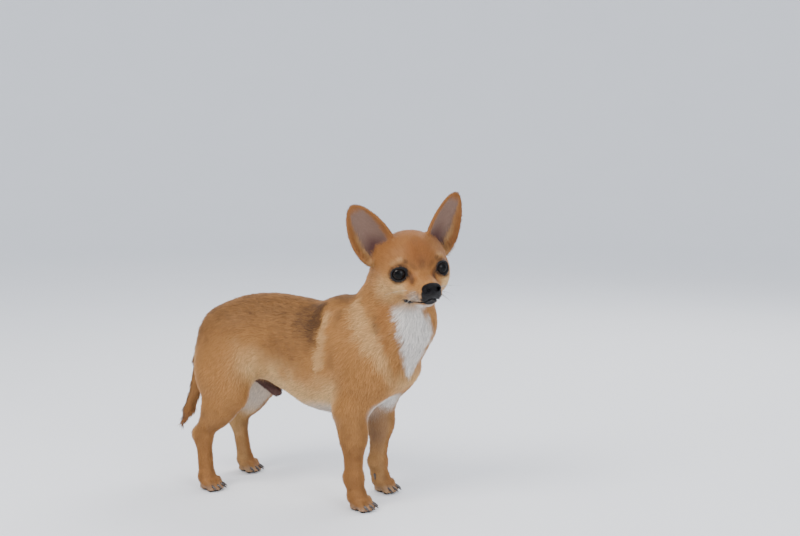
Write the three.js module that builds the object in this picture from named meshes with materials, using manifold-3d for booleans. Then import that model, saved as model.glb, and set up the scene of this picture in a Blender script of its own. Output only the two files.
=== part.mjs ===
// A smooth-coated chihuahua, life size, standing with its head turned to its right.
// Millimetres. +X is the way the body faces, +Y its left side, +Z up. The floor is z = 0.
import * as THREE from "three";
import { mergeVertices } from "three/addons/utils/BufferGeometryUtils.js";
import Module from "manifold-3d";

const wasm = await Module();
wasm.setup();

// Driving dimensions
const WITHERS_HEIGHT = 226;
const BODY_LENGTH = 258;
const CHEST_WIDTH = 84;
const FORE_TRACK = 72;
const HIND_TRACK = 84;
const HEAD_WIDTH = 78;
const EYE_SPACING = 44.5;
const EYE_RADIUS = 10;
const MUZZLE_LENGTH = 29;
const EAR_LENGTH = 66;
const EAR_WIDTH = 39;
const PAW_WIDTH = 27;
const CLAW_LENGTH = 8.5;
const GAP = 0.3;

// Where the head is carried, and how it is turned from the body
const EYE_LINE = new THREE.Vector3(168, -34, 264);
const HEAD_YAW = -45;
const HEAD_ROLL = 6.4;
const HEAD_PITCH = 1;

const degrees = THREE.MathUtils.degToRad;
const vec = (x, y, z) => new THREE.Vector3(x, y, z);

const COATS = {
  tan: { color: 0xb07a4c, roughness: 0.85, metalness: 0 },
  cream: { color: 0xd8c4a6, roughness: 0.85, metalness: 0 },
  leather: { color: 0x1d1b1d, roughness: 0.45, metalness: 0 },
  eye: { color: 0x0e0b0a, roughness: 0.05, metalness: 0 },
  claw: { color: 0x2a2422, roughness: 0.4, metalness: 0 },
  inner_ear: { color: 0xb98f80, roughness: 0.8, metalness: 0 },
  sheath: { color: 0x4b3a3a, roughness: 0.8, metalness: 0 },
};

// Distance fields: each takes x, y, z and gives the distance to its surface, below zero inside.

// Joins two fields with a fillet about as wide as the blend.
const blended = (a, b, blend) => {
  const h = Math.max(blend - Math.abs(a - b), 0) / blend;
  return Math.min(a, b) - h * h * blend * 0.25;
};

// An egg-shaped body of three half-sizes.
function egg(centre, radii) {
  const { x: cx, y: cy, z: cz } = centre;
  const [rx, ry, rz] = radii;
  return (x, y, z) => {
    const px = (x - cx) / rx;
    const py = (y - cy) / ry;
    const pz = (z - cz) / rz;
    const near = Math.hypot(px, py, pz);
    const slope = Math.hypot(px / rx, py / ry, pz / rz);
    return slope < 1e-9 ? -Math.min(rx, ry, rz) : (near * (near - 1)) / slope;
  };
}

// A limb that tapers between two joints. A width over 1 makes it broader along y than its radius.
function limb(from, to, startRadius, endRadius, width = 1) {
  const axis = vec(to.x - from.x, (to.y - from.y) / width, to.z - from.z);
  const long = axis.lengthSq();
  const least = Math.min(1, width);
  return (x, y, z) => {
    const px = x - from.x;
    const py = (y - from.y) / width;
    const pz = z - from.z;
    const t = Math.min(Math.max((px * axis.x + py * axis.y + pz * axis.z) / long, 0), 1);
    const off = Math.hypot(px - axis.x * t, py - axis.y * t, pz - axis.z * t);
    return (off - startRadius - (endRadius - startRadius) * t) * least;
  };
}

// A ring, such as the rim of the eyelids.
function ring(centre, axis, radius, tube) {
  const n = axis.clone().normalize();
  return (x, y, z) => {
    const px = x - centre.x;
    const py = y - centre.y;
    const pz = z - centre.z;
    const along = px * n.x + py * n.y + pz * n.z;
    const across = Math.sqrt(Math.max(px * px + py * py + pz * pz - along * along, 0));
    return Math.hypot(along, across - radius) - tube;
  };
}

// A smooth run of values through stations, with the slope of each worked out from its neighbours.
function spline(stations, key, at) {
  const last = stations.length - 1;
  let i = 0;
  while (i < last - 1 && at > stations[i + 1].at) i += 1;
  const [p0, p1, p2, p3] = [-1, 0, 1, 2].map((k) => stations[Math.min(Math.max(i + k, 0), last)]);
  const span = p2.at - p1.at;
  const t = Math.min(Math.max((at - p1.at) / span, 0), 1);
  const m1 = p2.at === p0.at ? 0 : ((p2[key] - p0[key]) / (p2.at - p0.at)) * span;
  const m2 = p3.at === p1.at ? 0 : ((p3[key] - p1[key]) / (p3.at - p1.at)) * span;
  const t2 = t * t;
  const t3 = t2 * t;
  return (
    (2 * t3 - 3 * t2 + 1) * p1[key] +
    (t3 - 2 * t2 + t) * m1 +
    (3 * t2 - 2 * t3) * p2[key] +
    (t3 - t2) * m2
  );
}

// The trunk: oval sections whose top line, underline and width run through stations from rump to breast.
const RUMP_X = -0.472 * BODY_LENGTH;
const TRUNK = [
  { at: 0.0, top: 0.82, under: 0.74, width: 0.1 },
  { at: 0.04, top: 0.89, under: 0.64, width: 0.6 },
  { at: 0.1, top: 0.942, under: 0.58, width: 0.84 },
  { at: 0.19, top: 0.99, under: 0.57, width: 0.95 },
  { at: 0.31, top: 1.012, under: 0.565, width: 0.9 },
  { at: 0.42, top: 1.01, under: 0.515, width: 0.92 },
  { at: 0.53, top: 0.995, under: 0.452, width: 0.99 },
  { at: 0.64, top: 0.98, under: 0.43, width: 1.02 },
  { at: 0.74, top: 0.985, under: 0.438, width: 0.98 },
  { at: 0.84, top: 0.96, under: 0.475, width: 0.9 },
  { at: 0.92, top: 0.88, under: 0.54, width: 0.74 },
  { at: 0.975, top: 0.79, under: 0.615, width: 0.44 },
  { at: 1.0, top: 0.73, under: 0.67, width: 0.08 },
];

function trunk(x, y, z) {
  const at = (x - RUMP_X) / BODY_LENGTH;
  const beyond = Math.max(-at, at - 1, 0) * BODY_LENGTH;
  const held = Math.min(Math.max(at, 0), 1);
  const top = spline(TRUNK, "top", held) * WITHERS_HEIGHT;
  const under = spline(TRUNK, "under", held) * WITHERS_HEIGHT;
  const half = (spline(TRUNK, "width", held) * CHEST_WIDTH) / 2;
  const tall = (top - under) / 2;
  const py = y / half;
  const pz = (z - (top + under) / 2) / tall;
  const near = Math.hypot(py, pz);
  const slope = Math.hypot(py / half, pz / tall);
  const side = slope < 1e-9 ? -Math.min(half, tall) : (near * (near - 1)) / slope;
  return beyond > 0 ? Math.hypot(Math.max(side, 0), beyond) : side;
}

// The legs: their joints for one side of the body, where side is -1 for the right and 1 for the left.
function foreJoints(side) {
  const y = (side * FORE_TRACK) / 2;
  const back = side > 0 ? -6 : 0;
  return {
    blade: vec(58, side * 14, 0.93 * WITHERS_HEIGHT),
    shoulder: vec(106 - back / 2, side * 27, 0.65 * WITHERS_HEIGHT),
    elbow: vec(84 - back / 3, side * 34, 0.47 * WITHERS_HEIGHT),
    forearm: vec(89 + back / 3, y, 0.36 * WITHERS_HEIGHT),
    wrist: vec(89 + back, y, 0.155 * WITHERS_HEIGHT),
    pastern: vec(93 + back, y, 15),
    toes: vec(97 + back, y, 9),
  };
}

function hindJoints(side) {
  const y = (side * HIND_TRACK) / 2;
  const back = side > 0 ? -7 : 0;
  return {
    hip: vec(-90, side * 20, 0.78 * WITHERS_HEIGHT),
    buttock: vec(-106, side * 19, 0.69 * WITHERS_HEIGHT),
    thigh: vec(-83 + back / 2, side * 31, 0.6 * WITHERS_HEIGHT),
    knee: vec(-67 + back, side * 38, 0.5 * WITHERS_HEIGHT),
    calf: vec(-86 + back, side * 40, 0.42 * WITHERS_HEIGHT),
    hock: vec(-105 + back, y, 0.28 * WITHERS_HEIGHT),
    heel: vec(-111 + back, y, 0.29 * WITHERS_HEIGHT),
    pastern: vec(-101 + back / 3, y, 15),
    toes: vec(-97 + back / 3, y, 9),
  };
}

// Four toes of a paw, from its knuckle line. Each has a knuckle, a tip and a pad under it.
const TOES = [
  { across: -0.36, reach: 8, turn: -12 },
  { across: -0.13, reach: 11.5, turn: -4 },
  { across: 0.13, reach: 11.5, turn: 4 },
  { across: 0.36, reach: 8, turn: 12 },
];
const TOE_RADIUS = 0.185 * PAW_WIDTH;

function toeOf(joints, toe) {
  const root = vec(joints.toes.x, joints.toes.y + toe.across * PAW_WIDTH * 0.75, joints.toes.z + 1);
  const turn = degrees(toe.turn);
  const ahead = vec(Math.cos(turn), Math.sin(turn), 0);
  const knuckle = root.clone().addScaledVector(ahead, toe.reach * 0.5).setZ(9.6);
  const tip = root.clone().addScaledVector(ahead, toe.reach).setZ(3.9);
  return { root, knuckle, tip, ahead };
}

function pawPieces(joints) {
  const pieces = [];
  for (const toe of TOES) {
    const { root, knuckle, tip } = toeOf(joints, toe);
    pieces.push([limb(root, knuckle, TOE_RADIUS * 1.05, TOE_RADIUS), 2.2]);
    pieces.push([limb(knuckle, tip, TOE_RADIUS, TOE_RADIUS * 0.86), 1.4]);
  }
  const pad = joints.toes.clone().add(vec(-3, 0, -4.2));
  pieces.push([egg(pad, [8.5, 9, 5.5]), 2.5]);
  return pieces;
}

function forelegPieces(side) {
  const j = foreJoints(side);
  const point = j.elbow.clone().add(vec(-11, 0, 5));
  const thumb = j.wrist.clone().add(vec(-2, -side * 7, -12));
  return [
    [limb(j.blade, j.shoulder, 16, 23), 22],
    [limb(j.shoulder, j.elbow, 21, 16, 0.85), 18],
    [limb(j.elbow, j.forearm, 16, 13.2, 0.82), 14],
    [limb(point, j.elbow, 5, 9), 6],
    [limb(j.forearm, j.wrist, 13.2, 9.6, 0.88), 12],
    [egg(j.wrist, [10.4, 9.6, 9]), 6],
    [limb(j.wrist, j.pastern, 9.6, 9.8, 1.02), 6],
    [limb(j.pastern, j.toes, 9.8, 8.6, 1.12), 5],
    [egg(thumb, [4, 3, 4.6]), 3],
    ...pawPieces(j),
  ];
}

function hindlegPieces(side) {
  const j = hindJoints(side);
  return [
    [limb(j.hip, j.thigh, 29, 26, 0.8), 24],
    [limb(j.buttock, j.thigh, 19, 22, 0.9), 18],
    [limb(j.thigh, j.knee, 26, 16, 0.72), 18],
    [limb(j.thigh, j.calf, 22, 14.5, 0.72), 16],
    [limb(j.knee, j.calf, 14.5, 14, 0.82), 10],
    [limb(j.calf, j.hock, 14.2, 9.2, 0.78), 12],
    [limb(j.calf, j.heel, 7, 6, 0.7), 7],
    [limb(j.heel, j.hock, 6.3, 8.4, 0.9), 6],
    [limb(j.hock, j.pastern, 9.2, 9, 0.92), 8],
    [limb(j.pastern, j.toes, 9.2, 8.4, 1.12), 5],
    ...pawPieces(j),
  ];
}

// The neck: three deep ovals from the shoulders to the back of the skull.
const NECK_BASE = vec(98, 0, 0.8 * WITHERS_HEIGHT);
const NECK_MIDDLE = vec(120, -2, 0.95 * WITHERS_HEIGHT);
const NECK_TOP = vec(129, -3, 1.09 * WITHERS_HEIGHT);
const THROAT = vec(140, -8, 0.9 * WITHERS_HEIGHT);

const NECK_PIECES = [
  [limb(NECK_BASE, NECK_MIDDLE, 43, 37, 0.84), 22],
  [limb(NECK_MIDDLE, NECK_TOP, 38, 34, 0.92), 18],
  [limb(vec(120, 0, 0.72 * WITHERS_HEIGHT), THROAT, 24, 28, 1), 26],
];

// The tail hangs along the rump and kicks back at its tip.
const TAIL_PATH = [
  { joint: vec(-104, 0, 0.86 * WITHERS_HEIGHT), radius: 9.5 },
  { joint: vec(-125, 0, 0.8 * WITHERS_HEIGHT), radius: 8.8 },
  { joint: vec(-138, 1, 0.64 * WITHERS_HEIGHT), radius: 7.8 },
  { joint: vec(-144, 2, 0.5 * WITHERS_HEIGHT), radius: 7.4 },
  { joint: vec(-157, 3, 0.36 * WITHERS_HEIGHT), radius: 6 },
  { joint: vec(-178, 4, 0.2 * WITHERS_HEIGHT), radius: 1.6 },
];
const TAIL_PIECES = TAIL_PATH.slice(1).map((end, i) => [
  limb(TAIL_PATH[i].joint, end.joint, TAIL_PATH[i].radius, end.radius),
  i ? 3 : 8,
]);

const SHEATH_ROOT = vec(-64, 0, 0.585 * WITHERS_HEIGHT);
const SHEATH_TIP = vec(-31, 0, 0.505 * WITHERS_HEIGHT);
const sheathField = limb(SHEATH_ROOT, SHEATH_TIP, 5, 6.6, 0.95);

const BODY_PIECES = [
  ...[-1, 1].flatMap((side) => [...forelegPieces(side), ...hindlegPieces(side)]),
  ...NECK_PIECES,
];

// The head, in its own frame: the origin is midway between the eyes, +X to the nose, +Y its left.
const EYE_DEPTH = 6;
const GAZE = 18;
const eyeCentre = (side) => vec(-EYE_DEPTH, (side * EYE_SPACING) / 2, 0.8);
const gaze = (side) => vec(Math.cos(degrees(GAZE)), side * Math.sin(degrees(GAZE)), 0.03);

const LID_OPEN = 55;

function lidRing(side) {
  const centre = eyeCentre(side).addScaledVector(gaze(side), EYE_RADIUS * Math.cos(degrees(LID_OPEN)));
  return ring(centre, gaze(side), (EYE_RADIUS + 0.5) * Math.sin(degrees(LID_OPEN)), 1.4);
}

// The room in front of an eye that brow and cheek leave open.
function outlook(side) {
  const from = eyeCentre(side).addScaledVector(gaze(side), EYE_RADIUS * 0.6);
  return limb(from, eyeCentre(side).addScaledVector(gaze(side), 22), 7.4, 10.5);
}

const NOSE = vec(MUZZLE_LENGTH - 3, 0, -15.5);
const MOUTH_Z = -27.5;
const HALF_HEAD = HEAD_WIDTH / 2;

const HEAD_PIECES = [
  [egg(vec(-31, 0, 8), [39, HALF_HEAD, 34]), 1],
  [egg(vec(-46, 0, -8), [26, 32, 24]), 12],
  ...[-1, 1].flatMap((side) => [
    [egg(vec(-30, side * 24, -12), [24, 16.5, 18]), 10],
    [egg(vec(-15, side * 28, -1), [12, 9, 12]), 7],
    [egg(vec(-9, side * 22, -11), [13, 10, 10]), 7],
    [egg(vec(-3, side * 16, 11), [7, 10, 6]), 6],
    [egg(vec(-36, side * 30, 14), [9, 7, 12]), 12],
  ]),
  [limb(vec(-6, 0, -15), vec(MUZZLE_LENGTH - 9, 0, -17), 18, 10.8, 1.08), 7],
  ...[-1, 1].flatMap((side) => [
    [egg(vec(14, side * 7.5, -20.5), [12, 7.2, 8.4]), 3],
    [egg(vec(0, side * 12, -20), [13, 9, 10]), 5],
  ]),
  [limb(vec(-24, 0, -22), vec(15, 0, -29.2), 15, 5.6, 1.35), 6],
];
const OUTLOOKS = [outlook(-1), outlook(1)];
const LIDS = [lidRing(-1), lidRing(1)];

function headField(x, y, z) {
  let d = HEAD_PIECES[0][0](x, y, z);
  for (let i = 1; i < HEAD_PIECES.length; i += 1) {
    d = blended(d, HEAD_PIECES[i][0](x, y, z), HEAD_PIECES[i][1]);
  }
  for (const open of OUTLOOKS) d = -blended(-d, open(x, y, z), 2);
  for (const lid of LIDS) d = blended(d, lid(x, y, z), 2.2);
  return d;
}

const headToBody = new THREE.Matrix4()
  .makeRotationZ(degrees(HEAD_YAW))
  .multiply(new THREE.Matrix4().makeRotationX(degrees(HEAD_ROLL)))
  .multiply(new THREE.Matrix4().makeRotationY(degrees(HEAD_PITCH)))
  .setPosition(EYE_LINE);
const bodyToHead = headToBody.clone().invert();

const HEAD_BLEND = 15;
const moved = new THREE.Vector3();

function bodyField(x, y, z) {
  let d = trunk(x, y, z);
  for (const [piece, blend] of BODY_PIECES) d = blended(d, piece(x, y, z), blend);
  return d;
}

// All the flesh in the body's frame.
function flesh(x, y, z) {
  const body = bodyField(x, y, z);
  moved.set(x, y, z).applyMatrix4(bodyToHead);
  const head = headField(moved.x, moved.y, moved.z);
  return blended(body, head, HEAD_BLEND);
}

const inHead = (field) => (x, y, z) => {
  moved.set(x, y, z).applyMatrix4(headToBody);
  return field(moved.x, moved.y, moved.z);
};

// How coarse the facets are, as a multiple of the steps named for each part.
const FACET_SCALE = 1.4;

// Grid lines that start at from. Each of the runs is an end and the step up to it.
function lines(from, ...runs) {
  const found = [from];
  for (const [end, step] of runs) {
    const start = found[found.length - 1];
    const n = Math.max(1, Math.round((end - start) / (step * FACET_SCALE)));
    for (let i = 1; i <= n; i += 1) found.push(start + ((end - start) * i) / n);
  }
  return found;
}

const CORNERS = [0, 1, 2, 3, 4, 5, 6, 7].map((c) => [c & 1, (c >> 1) & 1, c >> 2]);
const CELL_EDGES = CORNERS.flatMap((a, m) =>
  [1, 2, 4].filter((step) => !(m & step)).map((step) => [a, CORNERS[m | step]]),
);

// Where the inside meets itself only across a diagonal of a cell, the weakest corner changes sides.
function untangle(values, [nx, ny, nz]) {
  const [si, sj, sk] = [ny * nz, nz, 1];
  const quads = [[si, sj], [sj, sk], [si, sk]];
  const flip = (group) => {
    const weakest = group.reduce((a, b) => (Math.abs(values[b]) < Math.abs(values[a]) ? b : a));
    values[weakest] = values[weakest] < 0 ? 0.02 : -0.02;
  };
  let changed = true;
  for (let round = 0; changed && round < 20; round += 1) {
    changed = false;
    for (let i = 0; i < nx - 1; i += 1) {
      for (let j = 0; j < ny - 1; j += 1) {
        for (let k = 0; k < nz - 1; k += 1) {
          const at = (i * ny + j) * nz + k;
          for (const [u, v] of quads) {
            const group = [at, at + u, at + v, at + u + v];
            const [a, b, c, d] = group.map((n) => values[n] < 0);
            if (a === d && b === c && a !== b) {
              flip(group);
              changed = true;
            }
          }
          const whole = CORNERS.map(([x, y, z]) => at + x * si + y * sj + z * sk);
          const inside = whole.map((n) => values[n] < 0);
          const count = inside.filter(Boolean).length;
          if (count !== 2 && count !== 6) continue;
          const odd = whole.filter((n, m) => inside[m] === (count === 2));
          if (odd[0] + odd[1] !== whole[0] + whole[7]) continue;
          flip(odd);
          changed = true;
        }
      }
    }
  }
}

// A closed mesh of where a field is below zero: one vertex for each grid cell that the surface crosses.
function meshOf(field, xs, ys, zs) {
  const [nx, ny, nz] = [xs.length, ys.length, zs.length];
  const at = (i, j, k) => (i * ny + j) * nz + k;
  const values = new Float32Array(nx * ny * nz);
  for (let i = 0; i < nx; i += 1) {
    for (let j = 0; j < ny; j += 1) {
      for (let k = 0; k < nz; k += 1) {
        const rim = i * j * k === 0 || i === nx - 1 || j === ny - 1 || k === nz - 1;
        values[at(i, j, k)] = rim ? 1 : field(xs[i], ys[j], zs[k]);
      }
    }
  }
  untangle(values, [nx, ny, nz]);
  const vertexOf = new Int32Array(nx * ny * nz).fill(-1);
  const points = [];
  for (let i = 0; i < nx - 1; i += 1) {
    for (let j = 0; j < ny - 1; j += 1) {
      for (let k = 0; k < nz - 1; k += 1) {
        const sum = [0, 0, 0];
        let crossings = 0;
        for (const [a, b] of CELL_EDGES) {
          const va = values[at(i + a[0], j + a[1], k + a[2])];
          const vb = values[at(i + b[0], j + b[1], k + b[2])];
          if (va < 0 === vb < 0) continue;
          const t = va / (va - vb);
          sum[0] += xs[i + a[0]] + (xs[i + b[0]] - xs[i + a[0]]) * t;
          sum[1] += ys[j + a[1]] + (ys[j + b[1]] - ys[j + a[1]]) * t;
          sum[2] += zs[k + a[2]] + (zs[k + b[2]] - zs[k + a[2]]) * t;
          crossings += 1;
        }
        if (!crossings) continue;
        vertexOf[at(i, j, k)] = points.length / 3;
        points.push(sum[0] / crossings, sum[1] / crossings, sum[2] / crossings);
      }
    }
  }
  const faces = [];
  const quad = (a, b, c, d, flip) => {
    const [p, q, r, s] = [a, b, c, d].map((v) => vertexOf[v]);
    faces.push(...(flip ? [p, r, q, p, s, r] : [p, q, r, p, r, s]));
  };
  for (let i = 0; i < nx - 1; i += 1) {
    for (let j = 0; j < ny - 1; j += 1) {
      for (let k = 0; k < nz - 1; k += 1) {
        const inside = values[at(i, j, k)] < 0;
        if (j * k && inside !== values[at(i + 1, j, k)] < 0) {
          quad(at(i, j - 1, k - 1), at(i, j, k - 1), at(i, j, k), at(i, j - 1, k), !inside);
        }
        if (i * k && inside !== values[at(i, j + 1, k)] < 0) {
          quad(at(i - 1, j, k - 1), at(i - 1, j, k), at(i, j, k), at(i, j, k - 1), !inside);
        }
        if (i * j && inside !== values[at(i, j, k + 1)] < 0) {
          quad(at(i - 1, j - 1, k), at(i, j - 1, k), at(i, j, k), at(i - 1, j, k), !inside);
        }
      }
    }
  }
  return { points, faces };
}

// Draws each vertex onto the field's own surface, which keeps round forms full on a coarse grid.
function settle({ points, faces }, field, reach) {
  const probe = 0.05;
  for (let round = 0; round < 2; round += 1) {
    for (let i = 0; i < points.length; i += 3) {
      const [x, y, z] = points.slice(i, i + 3);
      const d = field(x, y, z);
      const g = [
        (field(x + probe, y, z) - d) / probe,
        (field(x, y + probe, z) - d) / probe,
        (field(x, y, z + probe) - d) / probe,
      ];
      const steep = Math.max(g[0] * g[0] + g[1] * g[1] + g[2] * g[2], 0.25);
      const move = THREE.MathUtils.clamp(d / steep, -reach, reach);
      g.forEach((slope, n) => {
        points[i + n] -= move * slope;
      });
    }
  }
  return { points, faces };
}

const solidFrom = (points, faces) =>
  new wasm.Manifold(
    new wasm.Mesh({
      numProp: 3,
      vertProperties: new Float32Array(points),
      triVerts: new Uint32Array(faces),
    }),
  );

function fieldSolid(field, xs, ys, zs, reach = 0.5) {
  const { points, faces } = settle(meshOf(field, xs, ys, zs), field, reach);
  return largest(solidFrom(points, faces));
}

function geometrySolid(geometry) {
  const bare = geometry.clone();
  bare.deleteAttribute("normal");
  bare.deleteAttribute("uv");
  const merged = mergeVertices(bare, 1e-4);
  return solidFrom(merged.attributes.position.array, merged.index.array);
}

// The largest closed surface of a solid.
function largest(solid) {
  return solid.decompose().reduce((best, s) => (s.volume() > best.volume() ? s : best));
}

// The half of space behind a plane, as a large block whose one face lies on it.
const VAST = 1200;

function behind(point, normal) {
  const n = normal.clone().normalize();
  const block = new THREE.BoxGeometry(VAST, VAST, VAST);
  const turn = new THREE.Quaternion().setFromUnitVectors(vec(0, 0, 1), n);
  block.translate(0, 0, -VAST / 2);
  block.applyQuaternion(turn);
  block.translate(point.x, point.y, point.z);
  return geometrySolid(block);
}

// A region bounded by planes, each a point on it and the way out. It can be grown for the gap round it.
function region(planes, grow = 0) {
  return planes
    .map(([point, out]) => {
      const n = out.clone().normalize();
      return behind(point.clone().addScaledVector(n, grow), n);
    })
    .reduce((a, b) => a.intersect(b));
}

const nodes = [];

function addNode(name, solid, finish, parent) {
  const { numProp, vertProperties, triVerts } = solid.getMesh();
  const points = new Float32Array((vertProperties.length / numProp) * 3);
  for (let i = 0; i < points.length / 3; i += 1) {
    points.set(vertProperties.subarray(i * numProp, i * numProp + 3), i * 3);
  }
  const geometry = new THREE.BufferGeometry();
  geometry.setAttribute("position", new THREE.BufferAttribute(points, 3));
  geometry.setIndex(new THREE.BufferAttribute(new Uint32Array(triVerts), 1));
  geometry.computeVertexNormals();
  const mesh = new THREE.Mesh(geometry, new THREE.MeshStandardMaterial(COATS[finish]));
  mesh.name = name;
  parent.add(mesh);
  nodes.push(mesh);
  return mesh;
}

// Planes that part the body: a point on each and the way out of the piece that is cut off.
const SIDES = [
  ["right", -1],
  ["left", 1],
];

function foreCuts(side) {
  const j = foreJoints(side);
  const middle = [vec(0, 0, 0), vec(0, -side, 0)];
  const rear = [vec(30, 0, 0), vec(-1, 0, 0)];
  const elbow = [j.elbow.clone().add(vec(0, 0, -6)), vec(-0.12, -side * 0.2, 1)];
  const wrist = [j.wrist.clone().add(vec(0, 0, -9)), vec(0, 0, 1)];
  return {
    foreleg: [middle, rear, elbow],
    forepaw: [middle, rear, wrist],
  };
}

function hindCuts(side) {
  const j = hindJoints(side);
  const middle = [vec(0, side * 3, 0), vec(0, -side, 0)];
  const front = [vec(-36, 0, 0), vec(1, 0, 0)];
  const away = [vec(0, side * 11, 0.5 * WITHERS_HEIGHT), vec(0, -side, -0.25)];
  const groin = [vec(-86, side * 30, 0.63 * WITHERS_HEIGHT), vec(0.3, -side * 0.35, 1)];
  const shank = [j.calf.clone().lerp(j.hock, 0.45), vec(0.45, 0, 1)];
  const ankle = [vec(j.pastern.x, j.pastern.y, 24), vec(0, 0, 1)];
  return {
    thigh: [middle, front, away, groin],
    hock: [middle, front, shank],
    hindpaw: [middle, front, ankle],
  };
}

// The planes where neck, tail and head are parted, each a point and the way towards the end of the body.
const NECK_CUT = [vec(110, 0, 0.86 * WITHERS_HEIGHT), vec(0.62, 0, 0.9)];
const NAPE_CUT = [vec(-46, 0, -18), vec(0.52, 0, 1)];
const JAW_LINE = [vec(MUZZLE_LENGTH, 0, MOUTH_Z), vec(-0.06, 0, 1)];
const JAW_BACK = [vec(-13, 0, MOUTH_Z), vec(-1, 0, -0.25)];

const reversed = ([point, out]) => [point, out.clone().negate()];
const nudged = ([point, out], by) => [point.clone().addScaledVector(out.clone().normalize(), by), out];
const placed = ([point, out], matrix) => [
  point.clone().applyMatrix4(matrix),
  out.clone().transformDirection(matrix),
];

const dog = new THREE.Group();
const headGroup = new THREE.Group();
headGroup.applyMatrix4(headToBody);
dog.add(headGroup);

// A claw: a curved, pointed horn. Grown, it is the socket that the claw sits in.
function horn(root, ahead, length, thickness, grow) {
  const rings = 3;
  const sides = 5;
  const across = vec(-ahead.y, ahead.x, 0).normalize();
  const up = ahead.clone().cross(across);
  const spine = (t) => root.clone().addScaledVector(ahead, length * t).addScaledVector(up, -0.42 * length * t * t);
  const start = spine(-grow / length);
  const tip = spine(1 + grow / length);
  const points = [...start.toArray()];
  const faces = [];
  for (let r = 0; r < rings; r += 1) {
    const t = r === 0 ? -grow / length : r / rings;
    const radius = thickness * (1 - 0.7 * Math.max(t, 0) ** 1.4) + grow;
    for (let s = 0; s < sides; s += 1) {
      const a = (2 * Math.PI * s) / sides;
      const rim = spine(t).addScaledVector(across, Math.cos(a) * radius * 0.75).addScaledVector(up, Math.sin(a) * radius);
      points.push(...rim.toArray());
    }
  }
  points.push(...tip.toArray());
  const last = points.length / 3 - 1;
  const top = 1 + (rings - 1) * sides;
  for (let s = 0; s < sides; s += 1) {
    const next = (s + 1) % sides;
    faces.push(0, 1 + next, 1 + s);
    for (let a = 1; a < top; a += sides) {
      const b = a + sides;
      faces.push(a + s, a + next, b + next, a + s, b + next, b + s);
    }
    faces.push(top + s, top + next, last);
  }
  const made = solidFrom(points, faces);
  return made.volume() < 0 ? solidFrom(points, faces.reverse()) : made;
}

function clawPlaces(joints) {
  return TOES.map((toe) => {
    const { tip, ahead } = toeOf(joints, toe);
    return { root: tip.clone().addScaledVector(ahead, TOE_RADIUS * 0.2).add(vec(0, 0, 2.6)), ahead };
  });
}

const FLOOR = [vec(0, 0, 0), vec(0, 0, -1)];
const SEAT = 0.45;

function cutFlesh(planes, ...grid) {
  return largest(fieldSolid(flesh, ...grid).intersect(region(planes)));
}

// A paw on its flat pads, with its claws let into the toes.
function addPaw(name, clawName, joints, planes, parent, thumb) {
  const { x, y } = joints.toes;
  const grid = [lines(x - 27, [x + 26, 3.1]), lines(y - 21, [y + 21, 2.8]), lines(-4, [17, 3], [40, 4.6])];
  let paw = cutFlesh([...planes, FLOOR], ...grid);
  const claws = clawPlaces(joints);
  if (thumb) claws.push(thumb);
  claws.forEach(({ root, ahead, length = CLAW_LENGTH }, i) => {
    paw = paw.subtract(horn(root, ahead, length, 2.2, GAP));
    addNode(`${clawName}_${i + 1}`, horn(root, ahead, length, 2.2, 0), "claw", parent);
  });
  addNode(name, largest(paw), "tan", parent);
}

const legRegions = [];

for (const [word, side] of SIDES) {
  const legs = new THREE.Group();
  dog.add(legs);
  const fore = foreJoints(side);
  const foreParts = foreCuts(side);
  const forearm = [...foreParts.foreleg, reversed(nudged(foreParts.forepaw[2], GAP))];
  const { x: fx, y: fy } = fore.wrist;
  const foreGrid = [lines(fx - 44, [fx + 40, 5]), lines(fy - 27, [fy + 27, 4.6]), lines(18, [130, 7])];
  addNode(`foreleg_${word}`, cutFlesh(forearm, ...foreGrid), "tan", legs);
  const thumb = {
    root: fore.wrist.clone().add(vec(1, -side * 10, -13)),
    ahead: vec(0.45, -side * 0.5, -0.74).normalize(),
    length: 6.5,
  };
  addPaw(`forepaw_${word}`, `claw_fore_${word}`, fore, foreParts.forepaw, legs, thumb);
  legRegions.push(foreParts.foreleg);

  const hind = hindJoints(side);
  const hindParts = hindCuts(side);
  const thigh = [...hindParts.thigh, reversed(nudged(hindParts.hock[2], GAP))];
  const hock = [...hindParts.hock, reversed(nudged(hindParts.hindpaw[2], GAP))];
  const { x: hx } = hind.thigh;
  const { y: hy } = hind.hock;
  const thighGrid = [lines(hx - 62, [hx + 62, 6.8]), lines(hy - 44, [hy + 30, 6.2]), lines(56, [178, 6.8])];
  addNode(`thigh_${word}`, cutFlesh(thigh, ...thighGrid), "tan", legs);
  const hockGrid = [lines(hx - 58, [hx + 40, 4.6]), lines(hy - 27, [hy + 27, 4.4]), lines(14, [118, 6])];
  addNode(`hock_${word}`, cutFlesh(hock, ...hockGrid), "tan", legs);
  addPaw(`hindpaw_${word}`, `claw_hind_${word}`, hind, hindParts.hindpaw, legs);
  legRegions.push(hindParts.thigh);
}

// Trunk with the sheath below it, neck and tail
const sheathGrid = [lines(-80, [-16, 3.6]), lines(-12, [12, 3.2]), lines(98, [150, 3.6])];
const sheathSolid = fieldSolid(sheathField, ...sheathGrid);
const trunkGrid = [lines(RUMP_X - 22, [RUMP_X + BODY_LENGTH + 12, 8.4]), lines(-68, [68, 7.6]), lines(70, [262, 7.6])];
let torso = cutFlesh([NECK_CUT], ...trunkGrid);
for (const planes of legRegions) torso = torso.subtract(region(planes, GAP));
torso = largest(torso);
addNode("torso", torso, "tan", dog);
const bodyNear = fieldSolid((x, y, z) => bodyField(x, y, z) - SEAT, ...trunkGrid).add(torso);
addNode("sheath", largest(sheathSolid.subtract(bodyNear)), "sheath", dog);

const napeInBody = placed(NAPE_CUT, headToBody);
const neckGrid = [lines(46, [196, 7.2]), lines(-74, [66, 7]), lines(140, [305, 7])];
addNode("neck", cutFlesh([reversed(nudged(NECK_CUT, GAP)), napeInBody], ...neckGrid), "tan", dog);

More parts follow.
